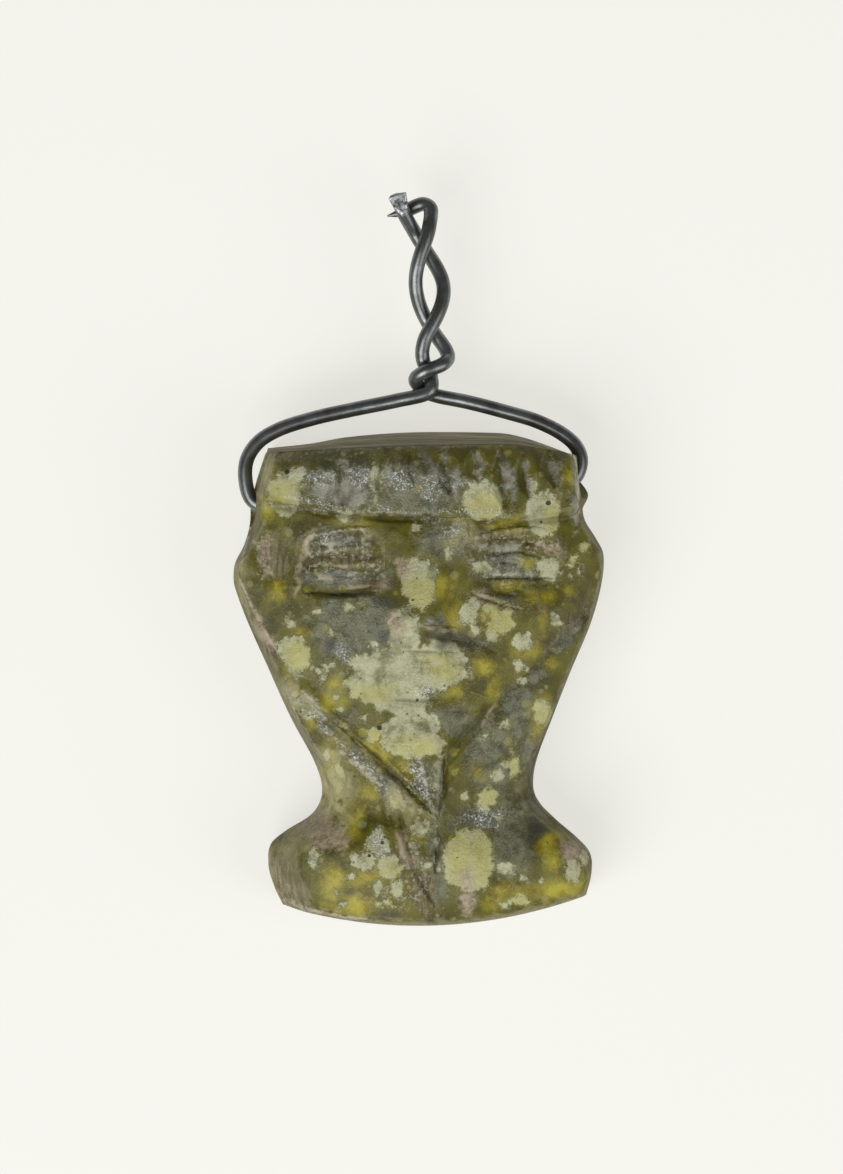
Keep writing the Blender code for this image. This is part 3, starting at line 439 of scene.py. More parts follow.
# Thin lines of pale dirt and rubbed edges, and painted glints along lit edges and ridges: from and to in
# the photograph's pixels, and half width
LINES = {
    "cream": (
        (300, 690, 326, 719, 1.8), (341, 752, 380, 784, 2.4), (360, 766, 374, 780, 4.0),
        (310, 551, 336, 551, 1.8), (336, 551, 362, 547, 1.6), (361, 528, 371, 541, 0.9),
        (312, 535, 361, 528, 0.8), (371, 541, 362, 547, 1.2), (311, 536, 304, 545, 2.2),
        (304, 545, 308, 553, 2.2), (476, 538, 484, 536, 1.4), (495, 574, 520, 575, 0.8),
        (437, 838, 436, 856, 2.4), (435, 856, 439, 870, 2.8), (363, 551, 362, 558, 1.2),
        (362, 563, 376, 566, 1.6), (378, 569, 384, 576, 1.8), (252, 541, 268, 549, 1.4),
        (320, 578, 330, 579, 2.0), (350, 574, 380, 570, 1.4), (446, 529, 458, 531, 1.6),
        (324, 541, 332, 546, 3.0), (420, 759, 423, 778, 1.6), (423, 778, 433, 811, 1.6),
        (390, 668, 440, 664, 1.4), (237, 577, 252, 606, 1.2), (252, 606, 272, 645, 1.2),
        (272, 645, 296, 680, 1.0), (452, 437, 560, 446, 1.2), (560, 446, 577, 458, 1.6),
        (577, 458, 580, 512, 1.6), (249, 520, 241, 562, 1.2), (283, 903, 320, 914, 2.2),
        (320, 914, 366, 921, 1.6),
    ),
    "tan": (
        (314, 529, 306, 542, 2.6), (306, 542, 302, 558, 3.4), (302, 558, 296, 576, 3.2),
        (296, 576, 301, 583, 2.4), (301, 583, 295, 597, 1.6), (327, 564, 347, 568, 1.6),
        (350, 587, 384, 585, 1.8), (422, 626, 457, 631, 1.6), (496, 705, 488, 713, 1.6),
        (488, 713, 482, 726, 1.8), (286, 683, 342, 728, 1.3), (342, 728, 386, 769, 1.3),
        (397, 834, 408, 860, 2.2), (474, 591, 500, 604, 1.3), (500, 604, 522, 609, 0.9),
        (537, 543, 561, 552, 2.2), (252, 606, 268, 640, 2.4), (315, 572, 330, 578, 1.8),
        (397, 560, 400, 576, 2.0), (360, 541, 371, 535, 1.6),
    ),
}
SPECK_LENGTH = 0.5
# Black specks, in the photograph's pixels, and half width
BLACK_SPECKS = (
    (287, 472, 2.8), (548, 503, 3.0), (541, 522, 1.8), (413, 600, 1.8), (546, 586, 1.6), (401, 643, 1.4),
    (300, 712, 1.6), (308, 716, 1.4), (363, 754, 1.6), (354, 777, 1.6), (379, 728, 3.0), (417, 700, 1.8),
    (382, 843, 2.2), (369, 856, 2.2), (403, 652, 1.3), (360, 678, 1.2), (457, 858, 1.2), (548, 844, 1.2),
)

# Noises by name: scale, detail, roughness and distortion
NOISES = {
    "crowd": (260.0, 2.0, 0.55, 0.0), "cloud": (420.0, 4.0, 0.60, 0.0),
    "mottle": (850.0, 4.0, 0.62, 0.4), "crumbs": (1700.0, 4.0, 0.65, 0.3),
    "grain": (4200.0, 4.0, 0.70, 0.0), "dust": (10500.0, 2.0, 0.60, 0.0),
}
# The same of the wire and of its cut end, without distortion, and where the wire rusts
IRON_NOISES = {"patch": (700.0, 4.0, 0.6), "grain": (4200.0, 4.0, 0.7)}
CUT_NOISES = {"grain": (3600.0, 4.0, 0.7)}
RUST = (("patch", 0.66, 0.74), ("grain", 0.45, 0.60))
# Stretched noises: the stretch along x, y and z, the scale, and the turn anticlockwise in radians
STREAKS = {
    "upright": ((0.31, 1.8, 1.0), 1500.0, 0.0), "level": ((3.3, 0.33, 0.5), 1300.0, 0.0),
    "falling": ((0.16, 3.0, 1.0), 2600.0, -0.75), "rising": ((0.16, 3.0, 1.0), 2300.0, 1.15),
}
# Dots: scale of their cells, share of the cells that have one, smallest and largest radius as shares
# of a cell, and the channel that picks the cells
DOTS = {
    "small dots": (1050.0, 0.50, 0.08, 0.28, "Red"), "tiny dots": (2100.0, 0.42, 0.10, 0.28, "Green"),
    "holes": (2500.0, 0.24, 0.07, 0.20, "Blue"),
}
DOT_EDGE = 0.05      # how soft their edges are
EDGE_WOBBLE = {"crumbs": 0.62, "grain": 0.44, "dust": 0.24}  # how far noises move patches' edges, in mm
DEPTH_SHRINK = 0.6   # how far patches shrink for each mm down the walls, in mm
SPECK_CRUMBS = 0.5   # how much the crumbs enlarge the black specks
WALL_TINT = 0.55     # how much of the wall's tone the walls have, and how much the steep slopes get as painted shade
STEEP_TINT = 0.45
SPOT_COVER = 0.6     # how much of that, and of the facets' tone, a pale spot keeps off
SUNK_SHELTER = 0.8   # how much of the wear stays off the hollows with their painted shade, and off the patches of painted shade
DARK_SHELTER = 0.6

MESH_FIELDS = (
    "facet", "face", "top", "rim", "steep", "hollow", "broad_hollow", "tan_line", "cream_line",
)
# A mask is the name of a share, or a field with the values at which it turns from 0 to 1.
# Shares by name, each the product of its masks
SHARES = {
    # Where the painted shade lies
    "dark": (("painted_shade", -0.36, 0.20),),
    # Where the painted sheen lies; the stone is smoother there too
    "painted_sheen_share": (("film", -0.45, 0.35), ("mottle", 0.22, 0.46)),
    # Where the grey facets and their painted sheen lie; the stone is smoother there too
    "greyed": (("grey_facets_and_sheen", -0.16, 0.12),),
    "scraped": (("scuffed", -0.25, 0.25),),
    "spotted": (("pale", -0.08, 0.10),),
    "stained": ("tan_line", ("crumbs", 0.34, 0.54), "face"),
    "crowded": ("tiny dots", ("crowd", 0.40, 0.60)),
    "cut": (("hollow", 0.20, 0.95),),
    "dipped": (("broad_hollow", 0.25, 1.0),),
}
# Tones by name: a colour, then the layers over it, each with its strength, its colour or tone and
# the masks that it is laid through
TONES = {
    # Painted shade: dark mottled olive
    "painted_shade": ((0.062, 0.057, 0.003), (1.0, (0.118, 0.108, 0.006), ("mottle", 0.36, 0.62))),
    # Painted sheen, with painted glitter in its dust
    "film": (
        (0.090, 0.095, 0.058),
        (1.0, (0.218, 0.223, 0.160), ("crumbs", 0.36, 0.62)),
        (0.40, (0.360, 0.370, 0.320), ("dust", 0.54, 0.68)),
    ),
    # Grey of the cut facets with painted sheen
    "grey_facets_and_sheen": ((0.074, 0.076, 0.054), (1.0, (0.215, 0.215, 0.170), ("crumbs", 0.35, 0.65))),
    "scuffed": (
        (0.080, 0.066, 0.030),
        (1.0, (0.225, 0.190, 0.112), ("upright", 0.36, 0.62)),
        (0.35, (0.340, 0.310, 0.210), ("dust", 0.58, 0.68)),
    ),
    "gold": (
        (0.230, 0.180, 0.006),
        (1.0, (0.420, 0.360, 0.020), ("mottle", 0.34, 0.60)),
        (0.35, (0.490, 0.440, 0.080), ("grain", 0.50, 0.70)),
        (0.65, (0.560, 0.490, 0.060), ("gold", 0.05, 0.60)),
    ),
    "dots": ((0.270, 0.270, 0.130), (1.0, (0.350, 0.315, 0.050), ("cloud", 0.46, 0.54))),
    "pale": (
        (0.220, 0.219, 0.108),
        (1.0, (0.495, 0.493, 0.300), ("mottle", 0.32, 0.60)),
        (0.58, (0.620, 0.617, 0.420), ("crumbs", 0.47, 0.62)),
        (0.55, (0.700, 0.700, 0.500), ("grain", 0.48, 0.66)),
        (0.50, (0.160, 0.158, 0.050), ("crumbs", 0.44, 0.30)),
        (0.62, (0.535, 0.498, 0.140), ("cream", -0.45, 0.35)),
        (0.80, (0.060, 0.060, 0.020), "holes"),
    ),
    "wall": ((0.070, 0.062, 0.010), (1.0, (0.180, 0.156, 0.052), ("mottle", 0.38, 0.62))),
    "slant": (
        (0.190, 0.160, 0.085),
        (1.0, (0.400, 0.350, 0.215), ("upright", 0.36, 0.64)),
        (0.45, (0.120, 0.106, 0.024), ("mottle", 0.50, 0.62)),
    ),
    "mist": ((0.270, 0.250, 0.095), (1.0, (0.500, 0.465, 0.230), ("mottle", 0.36, 0.62))),
    "pink": ((0.300, 0.238, 0.160), (1.0, (0.510, 0.415, 0.300), ("grain", 0.36, 0.62))),
    "planed": (
        (0.165, 0.142, 0.076),
        (1.0, (0.350, 0.302, 0.185), ("level", 0.34, 0.66)),
        (0.40, (0.500, 0.445, 0.320), ("level", 0.54, 0.64)),
        (0.50, (0.080, 0.070, 0.032), ("dust", 0.40, 0.30)),
    ),
    # Painted light on the facets that face the lamps
    "painted_lit_facets": ((0.170, 0.165, 0.118), (1.0, (0.360, 0.355, 0.285), ("crumbs", 0.34, 0.62))),
    # Painted glints
    "painted_glints": ((0.200, 0.212, 0.180), (1.0, (0.800, 0.820, 0.800), ("dust", 0.48, 0.60))),
    "serpentine": (
        (0.060, 0.054, 0.004),
        (1.0, (0.128, 0.116, 0.010), ("cloud", 0.36, 0.66)),
        (0.55, (0.190, 0.173, 0.020), ("mottle", 0.50, 0.68)),
        (0.60, (0.036, 0.034, 0.004), ("mottle", 0.44, 0.30)),
        (0.45, (0.230, 0.212, 0.045), ("grain", 0.56, 0.72)),
        # Painted shade
        (0.90, "painted_shade", "dark"),
        # Painted sheen
        (0.74, "film", "painted_sheen_share"),
        # Grey facets with painted sheen
        (0.74, "grey_facets_and_sheen", "greyed"),
        (0.80, "scuffed", "scraped"),
        (0.88, "gold", ("gold", -0.42, 0.36)),
        (0.40, (0.200, 0.185, 0.036), ("pale", -0.48, 0.10)),
        (0.66, "dots", "dotted", ("crumbs", 0.30, 0.52)),
        (0.88, "pale", "spotted"),
        # Blue-black stains and painted shade
        (0.62, (0.038, 0.044, 0.050), ("ink", -0.20, 0.25)),
        # The walls get a plain mottled olive, and steep slopes of the front are darkened towards it:
        # painted shade
        (1.0, "wall", "edges"),
        # Painted shade in the hollows of the carving
        (0.55, (0.050, 0.043, 0.004), "shaded_hollows"),
        (0.80, "slant", "facet", ("cloud", 0.22, 0.50), "face", "bare"),
        (0.80, "mist", ("mist", -0.60, 0.55), ("crumbs", 0.26, 0.46)),
        (0.76, "pink", ("pink", -0.25, 0.24)),
        (0.90, "planed", "top"),
        # Painted light on the facets that face the lamps
        (0.76, "painted_lit_facets", ("painted_lit_facets", -0.12, 0.16)),
        # Pale grains with painted glints
        (0.66, (0.430, 0.418, 0.300), ("pale_grains_and_glints", -0.35, 0.30), ("grain", 0.53, 0.62)),
        (0.34, (0.325, 0.302, 0.135), ("scratches", 0.60, 0.72), "rubbed"),
        (0.32, (0.410, 0.385, 0.180), ("dust", 0.60, 0.70), "rubbed"),
        (0.35, (0.045, 0.042, 0.012), ("dust", 0.40, 0.30)),
        (0.40, (0.320, 0.300, 0.195), ("hollow", -0.45, -1.0), ("crumbs", 0.40, 0.62)),
        # The rim: paler from wear and from a painted glow
        (0.42, (0.440, 0.400, 0.210), "rim", ("cloud", 0.30, 0.60)),
        # Painted glints
        (0.75, "painted_glints", ("painted_glints", -0.25, 0.25), ("grain", 0.42, 0.56)),
        (0.72, (0.440, 0.355, 0.220), "stained"),
        # Pale dirt, rubbed edges and painted glints along lit edges
        (0.78, (0.520, 0.495, 0.380), "cream_line", ("crumbs", 0.37, 0.53), ("grain", 0.34, 0.50), "face"),
        (0.90, (0.022, 0.022, 0.018), ("speck", 0.75, 1.0)),
    ),
    "dark_iron": (
        (0.120, 0.124, 0.118),
        (1.0, (0.215, 0.225, 0.225), ("patch", 0.35, 0.65)),
        (1.0, (0.160, 0.075, 0.030), "rust"),
    ),
    "cut_iron": ((0.10, 0.11, 0.11), (1.0, (0.52, 0.54, 0.55), ("grain", 0.40, 0.62))),
}


# Curves and shapes shared by the stone's surfaces

def curve(keys, at):
    """A smooth line through (position, value) keys that never overshoots them."""
    x = np.array([k[0] for k in keys])
    y = np.array([k[1] for k in keys])
    at = np.clip(np.asarray(at, float), x[0], x[-1])
    gap = np.diff(x)
    slope = np.diff(y) / gap
    tangent = np.concatenate([slope[:1], (slope[:-1] + slope[1:]) / 2, slope[-1:]])
    turns = slope[:-1] * slope[1:] <= 0
    tangent[1:-1][turns] = 0.0
    steepest = 3 * np.minimum(
        np.abs(np.concatenate([slope[:1], slope])), np.abs(np.concatenate([slope, slope[-1:]]))
    )
    tangent = np.clip(tangent, -steepest, steepest)
    i = np.clip(np.searchsorted(x, at, side="right") - 1, 0, len(gap) - 1)
    t = (at - x[i]) / gap[i]
    return (
        y[i] * (2 * t**3 - 3 * t**2 + 1)
        + tangent[i] * gap[i] * (t**3 - 2 * t**2 + t)
        + y[i + 1] * (3 * t**2 - 2 * t**3)
        + tangent[i + 1] * gap[i] * (t**3 - t**2)
    )


def smooth(t):
    t = np.clip(t, 0.0, 1.0)
    return t * t * (3 - 2 * t)


def left_edge(v):
    return curve(LEFT_EDGE, v)


def right_edge(v):
    return curve(RIGHT_EDGE, v)


def base_edge(u):
    return BASE_BOW * u**2


def top_edge(u, share_back=0.0):
    """v of the top's edge: the front edge at 0, the back edge at 1."""
    front, back = curve(TOP_FRONT, u), curve(TOP_BACK, u)
    return front + (back - front) * share_back


def outline_point(s, t, share_back=0.0):
    """(u, v) at s across and t up the outline, of the front at share_back 0, of the back at 1."""
    low = LEFT_EDGE[0][1] * (1 - s) + RIGHT_EDGE[0][1] * s
    high = LEFT_EDGE[-1][1] * (1 - s) + RIGHT_EDGE[-1][1] * s
    v = base_edge(low) * (1 - t) + top_edge(high, share_back) * t
    return left_edge(v) * (1 - s) + right_edge(v) * s, v


def right_bulge(v):
    middle, half, reach = RIGHT_BULGE
    return reach * smooth(1 - np.abs(v - middle) / half)


def from_line(x, y, ax, ay, bx, by):
    """Distance from the line that runs from a to b, and the share of the way along it."""
    dx, dy = bx - ax, by - ay
    along = np.clip(((x - ax) * dx + (y - ay) * dy) / (dx * dx + dy * dy), 0.0, 1.0)
    return np.hypot(x - ax - along * dx, y - ay - along * dy), along


def turned(x, y, degrees=0):
    """The places as seen from axes that are turned anticlockwise."""
    c, s = math.cos(math.radians(degrees)), math.sin(math.radians(degrees))
    return x * c + y * s, y * c - x * s


def panel(u, v, middle, half, turn, softness):
    """1 inside a turned, soft-edged rectangle and 0 outside it."""
    x, y = turned((u - middle[0]) * STONE_WIDTH, (v - middle[1]) * STONE_HEIGHT, turn)
    reach = ((x / (half[0] * STONE_WIDTH)) ** 4 + (y / (half[1] * STONE_HEIGHT)) ** 4) ** 0.25
    return smooth((1 + softness / 2 - reach) / softness)


def side_fall(u, v):
    left, right = left_edge(v), right_edge(v)
    across = np.abs(2 * u - left - right) / (right - left)
    return SIDE_FALL * across**SIDE_FALL_POWER


def band_share(u, v):
    return smooth((v - curve(BAND_FOOT, u)) / BAND_STEP + 0.5)


def band_height(u, v, forehead):
    """The hair band's rounded front, blended down to the forehead below its lower edge."""
    foot = curve(BAND_FOOT, u)
    rise = (v - foot) / (top_edge(u) - foot)
    above = np.maximum(0.0, rise - BAND_FLAT[1])
    below = np.maximum(0.0, BAND_FLAT[0] - rise)
    crest = BAND_CREST * STONE_THICKNESS - side_fall(u, v) * BAND_SIDE_FALL
    band = crest - BAND_TOP_FALL * above**2 - BAND_FOOT_FALL * below**2
    return forehead + (band - forehead) * band_share(u, v)


def bevel_reach(u, v):
    """Distances from the four edges of the front, each in widths of its bevel."""
    left = (u - left_edge(v)) * STONE_WIDTH / (curve(LEFT_BEVEL, v) * MM)
    right = (right_edge(v) - u) * STONE_WIDTH / (curve(RIGHT_BEVEL, v) * MM)
    base = (v - base_edge(u)) * STONE_HEIGHT / BASE_BEVEL
    top = (top_edge(u) - v) * STONE_HEIGHT / TOP_BEVEL
    return left, right, base, top


def rim_drop(u, v, height):
    """How far the worn bevels at the outline lower the front."""
    total = 0.0
    for reach, (rim, power) in zip(bevel_reach(u, v), RIMS):
        drop = np.maximum(0.0, height - rim * STONE_THICKNESS)
        total = total + (drop * (1 - np.clip(reach, 0.0, 1.0)) ** power) ** 4
    return total**0.25


def front_height(u, v):
    """Height of the front above the back, without the tool strokes."""
    height = curve(MIDDLE_LINE, v) * STONE_THICKNESS - side_fall(u, v)
    for middle, half, turn, rise, softness in PANELS.values():
        height = height + rise * MM * panel(u, v, middle, half, turn, softness)
    for start, end, start_width, end_width, start_rise, end_rise in RIDGES.values():
        ends = [share * size for share, size in zip((*start, *end), 2 * (STONE_WIDTH, STONE_HEIGHT))]
        away, along = from_line(u * STONE_WIDTH, v * STONE_HEIGHT, *ends)
        half_width = (start_width + (end_width - start_width) * along) * MM
        rise = (start_rise + (end_rise - start_rise) * along) * MM
        height = height + rise * smooth(RIDGE_REACH - away / half_width)
    height = band_height(u, v, height)
    return height - rim_drop(u, v, height)


def photo_place(px, py):
    """The (x, y) of a pixel of the photograph at the level of the carved face."""
    x = PHOTO_CENTRE.x + (px - PHOTO_SIZE[0] / 2) * PIXEL
    return x, PHOTO_CENTRE.y - (py - PHOTO_SIZE[1] / 2) * PIXEL


def stroke_cut(x, y, start, end, bend, width, depth, skew=0.0):
    """Depth of a tool's V-shaped stroke at each place, pointed at its ends."""
    ax, ay = photo_place(*start)
    bx, by = photo_place(*end)
    dx, dy = bx - ax, by - ay
    length = math.hypot(dx, dy)
    along = ((x - ax) * dx + (y - ay) * dy) / length**2
    side = ((y - ay) * dx - (x - ax) * dy) / length
    share = np.clip(along, 0.0, 1.0)
    bow = np.clip(np.sin(np.pi * share), 0.0, 1.0)
    side = side - bend * PIXEL * bow
    reach = bow**STROKE_POINT
    half = np.maximum(reach * width * PIXEL / 2, 1e-9)
    bottom = -skew * half
    rise = np.minimum((half - side) / (half - bottom), (half + side) / (half + bottom))
    return np.maximum(0.0, reach * depth * np.clip(rise, 0.0, 1.0) - depth * STROKE_PROUD)


def all_cuts(x, y):
    """The depth of the hair notches and tool strokes together."""
    deepest = 0.0 * x
    for x0, y0, x1, y1, width, depth, skew in HAIR_NOTCHES:
        deepest = np.maximum(deepest, stroke_cut(x, y, (x0, y0), (x1, y1), 0, width, depth * MM, skew))
    for x0, y0, x1, y1, bend, width, depth in chain(*STROKES.values()):
        deepest = np.maximum(deepest, stroke_cut(x, y, (x0, y0), (x1, y1), bend, width, depth * MM))
    return deepest


def lumps(x, y, across, up, seed):
    """Smooth random lumps from -1 to 1 in cells of a given size."""
    table = np.random.default_rng(seed).uniform(-1.0, 1.0, (LUMP_CELLS, LUMP_CELLS))
    gx, gy = x / across, y / up
    i, j = np.floor(gx).astype(int), np.floor(gy).astype(int)
    fx, fy = smooth(gx - i), smooth(gy - j)
    corner = [
        table[(i + a) % LUMP_CELLS, (j + b) % LUMP_CELLS] for a, b in ((0, 0), (1, 0), (0, 1), (1, 1))
    ]
    low = corner[0] * (1 - fx) + corner[1] * fx
    high = corner[2] * (1 - fx) + corner[3] * fx
    return low * (1 - fy) + high * fy


def relief(x, y, layers):
    return sum(height * MM * lumps(x, y, across * MM, up * MM, seed) for across, up, height, seed in layers)


def waver(x, y, broad, fine, seed):
    """The places moved about by up to broad and fine mm, so that edges drawn there are irregular."""
    moved = []
    for k, at in enumerate((x, y)):
        sways = zip(WAVER_CELLS, (broad, fine), (seed + k, seed + 2 + k))
        moved.append(at + relief(x, y, [(cell, cell, sway, draw) for cell, sway, draw in sways]))
    return moved


def facet_share(u, v):
    """1 on the unpolished bevels of the left side and base, 0 on the face."""
    left, _, base, _ = bevel_reach(u, v)
    dull = UPPER_FACET + (1 - UPPER_FACET) * smooth((SHOULDER_TOP[0] - v) / SHOULDER_TOP[1])
    return np.maximum(smooth(FACET_BLEND * (1 - left)) * dull, smooth(1 - base))


def rim_share(u, v):
    """1 at the thin edge all round the front, paler from wear and a painted glow, falling to 0 a little way
    inside it.
    """
    away = np.minimum((u - left_edge(v)) * STONE_WIDTH, (right_edge(v) - u) * STONE_WIDTH)
    away = np.minimum(away, (v - base_edge(u)) * STONE_HEIGHT)
    return smooth(1 - away / RIM_REACH)


def wall_rim_shares():
    """The same down the walls, one share for each loop of them."""
    loops = np.arange(1, WALL_ROWS + BACK_EDGE_ROWS + 1)
    return np.clip(1 - loops / RIM_LOOPS, 0.0, 1.0)


def carved_height(u, v):
    """The front with its strokes and fine relief."""
    x, y = u * STONE_WIDTH, STONE_BASE + v * STONE_HEIGHT
    facet = facet_share(u, v)
    fine = relief(x, y, FACE_LUMPS) * (1 - FACET_WEAR * facet) + relief(x, y, FACET_LINES) * facet
    fine = fine + relief(x, y, BAND_HAIRS) * band_share(u, v) * (1 - facet)
    cut_x, cut_y = waver(x, y, *STROKE_WAVER)
    return front_height(u, v) - all_cuts(cut_x, cut_y) + fine


def blur(field, reach):
    """The mean of a field over a square of grid places."""
    for axis in (0, 1):
        padded = np.pad(field, [(reach, reach) if k == axis else (0, 0) for k in (0, 1)], mode="edge")
        sums = np.cumsum(padded, axis=axis)
        sums = np.insert(sums, 0, 0.0, axis=axis)
        span = 2 * reach + 1
        upper = np.take(sums, range(span, sums.shape[axis]), axis=axis)
        lower = np.take(sums, range(0, sums.shape[axis] - span), axis=axis)
        field = (upper - lower) / span
    return field


# Colour fields, placed by the photograph

def spot_field(x, y, spots):
    """How far in metres each place lies inside the nearest spot's edge, negative outside."""
    field = np.full(x.shape, -1.0 * MM)
    for px, py, half_width, half_height, *turn in spots:
        sx, sy = photo_place(px, py)
        across, up = turned(x - sx, y - sy, *turn)
        away = np.hypot(across / (half_width * PIXEL), up / (half_height * PIXEL))
        field = np.maximum(field, (1 - away) * min(half_width, half_height) * PIXEL)
    return field


def line_field(x, y, lines):
    """1 along the middle of the nearest line, falling to 0 beside it."""
    field = 0.0 * x
    for x0, y0, x1, y1, half_width in lines:
        away, _ = from_line(x, y, *photo_place(x0, y0), *photo_place(x1, y1))
        field = np.maximum(field, smooth(LINE_REACH - away / (half_width * PIXEL)))
    return field


# Blender helpers

def new_object(name, data):
    made = bpy.data.objects.new(name, data)
    bpy.context.scene.collection.objects.link(made)
    return made


def mesh_object(name, vertices, faces):
    mesh = bpy.data.meshes.new(name)
    mesh.from_pydata(vertices, [], faces)
    mesh.validate()
    return new_object(name, mesh)


def connect(tree, node, inputs):
    """Sets each input of a node to a value, or links it to a socket."""
    for key, value in inputs.items():
        if isinstance(value, bpy.types.NodeSocket):
            tree.links.new(value, node.inputs[key])
        else:
            node.inputs[key].default_value = value


def add(tree, kind, inputs, **settings):
    """A shader node with its inputs and settings."""
    made = tree.nodes.new(kind)
    for key, value in settings.items():
        setattr(made, key, value)
    connect(tree, made, inputs)
    return made


def maths(tree, operation, *values):
    return add(tree, "ShaderNodeMath", dict(enumerate(values)), operation=operation).outputs[0]


def step(tree, value, low, high):
    """0 below low and 1 above high, smoothly between."""
    made = add(
        tree, "ShaderNodeMapRange", {"Value": value, "From Min": low, "From Max": high},
        interpolation_type="SMOOTHSTEP",
    )
    return made.outputs["Result"]


def mix(tree, share, below, above):
    """One colour over another; each is a socket or red, green and blue."""
    made = add(tree, "ShaderNodeMix", {}, data_type="RGBA")  # 0, 6 and 7 are its share and colours
    below, above = ((*tone, 1.0) if isinstance(tone, tuple) else tone for tone in (below, above))
    connect(tree, made, {0: share, 6: below, 7: above})
    return made.outputs[2]


def noise(tree, place, scale, detail, roughness, distortion=0.0):
    inputs = {"Vector": place, "Scale": scale, "Detail": detail, "Roughness": roughness}
    made = add(tree, "ShaderNodeTexNoise", {**inputs, "Distortion": distortion})
    return made.outputs["Fac"]


def noises(tree, place, table):
    """Noise fields by name, from a table of their settings."""
    return {name: noise(tree, place, *settings) for name, settings in table.items()}


def bump(tree, height, strength, distance):
    inputs = {"Height": height, "Strength": strength, "Distance": distance}
    return add(tree, "ShaderNodeBump", inputs).outputs["Normal"]


def object_place(tree):
    return add(tree, "ShaderNodeTexCoord", {}).outputs["Object"]


def attribute(tree, name):
    return add(tree, "ShaderNodeAttribute", {}, attribute_name=name).outputs["Fac"]


def new_material(name):
    made = bpy.data.materials.new(name)
    made.use_nodes = True
    tree = made.node_tree
    return made, tree, tree.nodes["Principled BSDF"]


# The stone

def stretches(marks, counts):
    """Grid lines from the first mark to the last, with counts[k] equal steps from mark k to k + 1."""
    lines = [marks[0]]
    for near, far, count in zip(marks, marks[1:], counts):
        lines += [near + (far - near) * k / count for k in range(1, count + 1)]
    return np.array(lines)


def front_shares():
    """s and t of the front's grid, with lines along the bevels and along the hair band's foot."""
    s, t = np.meshgrid(np.linspace(0.0, 1.0, sum(COLUMNS) + 1), np.linspace(0.0, 1.0, sum(ROWS) + 1))
    for _ in range(GRID_PASSES):
        u, v = outline_point(s, t)
        width = (right_edge(v) - left_edge(v))[:, 0] * STONE_WIDTH
        left = curve(LEFT_BEVEL, v[:, 0]) * MM / width
        right = curve(RIGHT_BEVEL, v[:, -1]) * MM / width
        s = stretches((0 * left, left, 1 - right, 0 * right + 1), COLUMNS).T
        low, high = base_edge(u[0]), top_edge(u[-1])
        foot = curve(BAND_FOOT, u[-sum(ROWS[3:]) - 1])
        marks = (
            low, low + BASE_BEVEL / STONE_HEIGHT, foot - BAND_STEP / 2, foot + BAND_STEP / 2,
            high - TOP_BEVEL / STONE_HEIGHT, high,
        )
        t = stretches([(mark - low) / (high - low) for mark in marks], ROWS)
    return s, t


def rim_order():
    """Grid places (row, column) once round the front's edge."""
    last_row, last_column = sum(ROWS), sum(COLUMNS)
    return np.array(
        [(0, i) for i in range(last_column)]
        + [(j, last_column) for j in range(last_row)]
        + [(last_row, i) for i in range(last_column, 0, -1)]
        + [(j, 0) for j in range(last_row, 0, -1)]
    )


def wall_loops(s, t, rim_z):
    """Arrays of u, v and z for each loop down the walls and round the back's edge."""
    loops = []
    for k in range(1, WALL_ROWS + 1):
        share = k / WALL_ROWS
        bow = math.sin(math.pi * share)
        u, v = outline_point(s, t, share)
        u = u + np.where(s == 1.0, right_bulge(v) / STONE_WIDTH * bow, 0.0)
        z = rim_z + (BACK_EDGE_RADIUS - rim_z) * share
        around = np.where((t > 0.0) & (t < 1.0), v * STONE_HEIGHT, u * STONE_WIDTH)
        rough = relief(around, z, WALL_LUMPS) * bow
        u = u - np.where(s == 0.0, -rough, np.where(s == 1.0, rough, 0.0)) / STONE_WIDTH
        loops.append((u, v, z))
    for k in range(1, BACK_EDGE_ROWS + 1):
        angle = k / BACK_EDGE_ROWS * math.pi / 2
        inset = BACK_EDGE_RADIUS * (1 - math.cos(angle))
        across = 0.5 + (s - 0.5) * (1 - 2 * inset / STONE_WIDTH)
        up = 0.5 + (t - 0.5) * (1 - 2 * inset / STONE_HEIGHT)
        u, v = outline_point(across, up, 1.0)
        loops.append((u, v, 0 * u + BACK_EDGE_RADIUS * (1 - math.sin(angle))))
    return loops


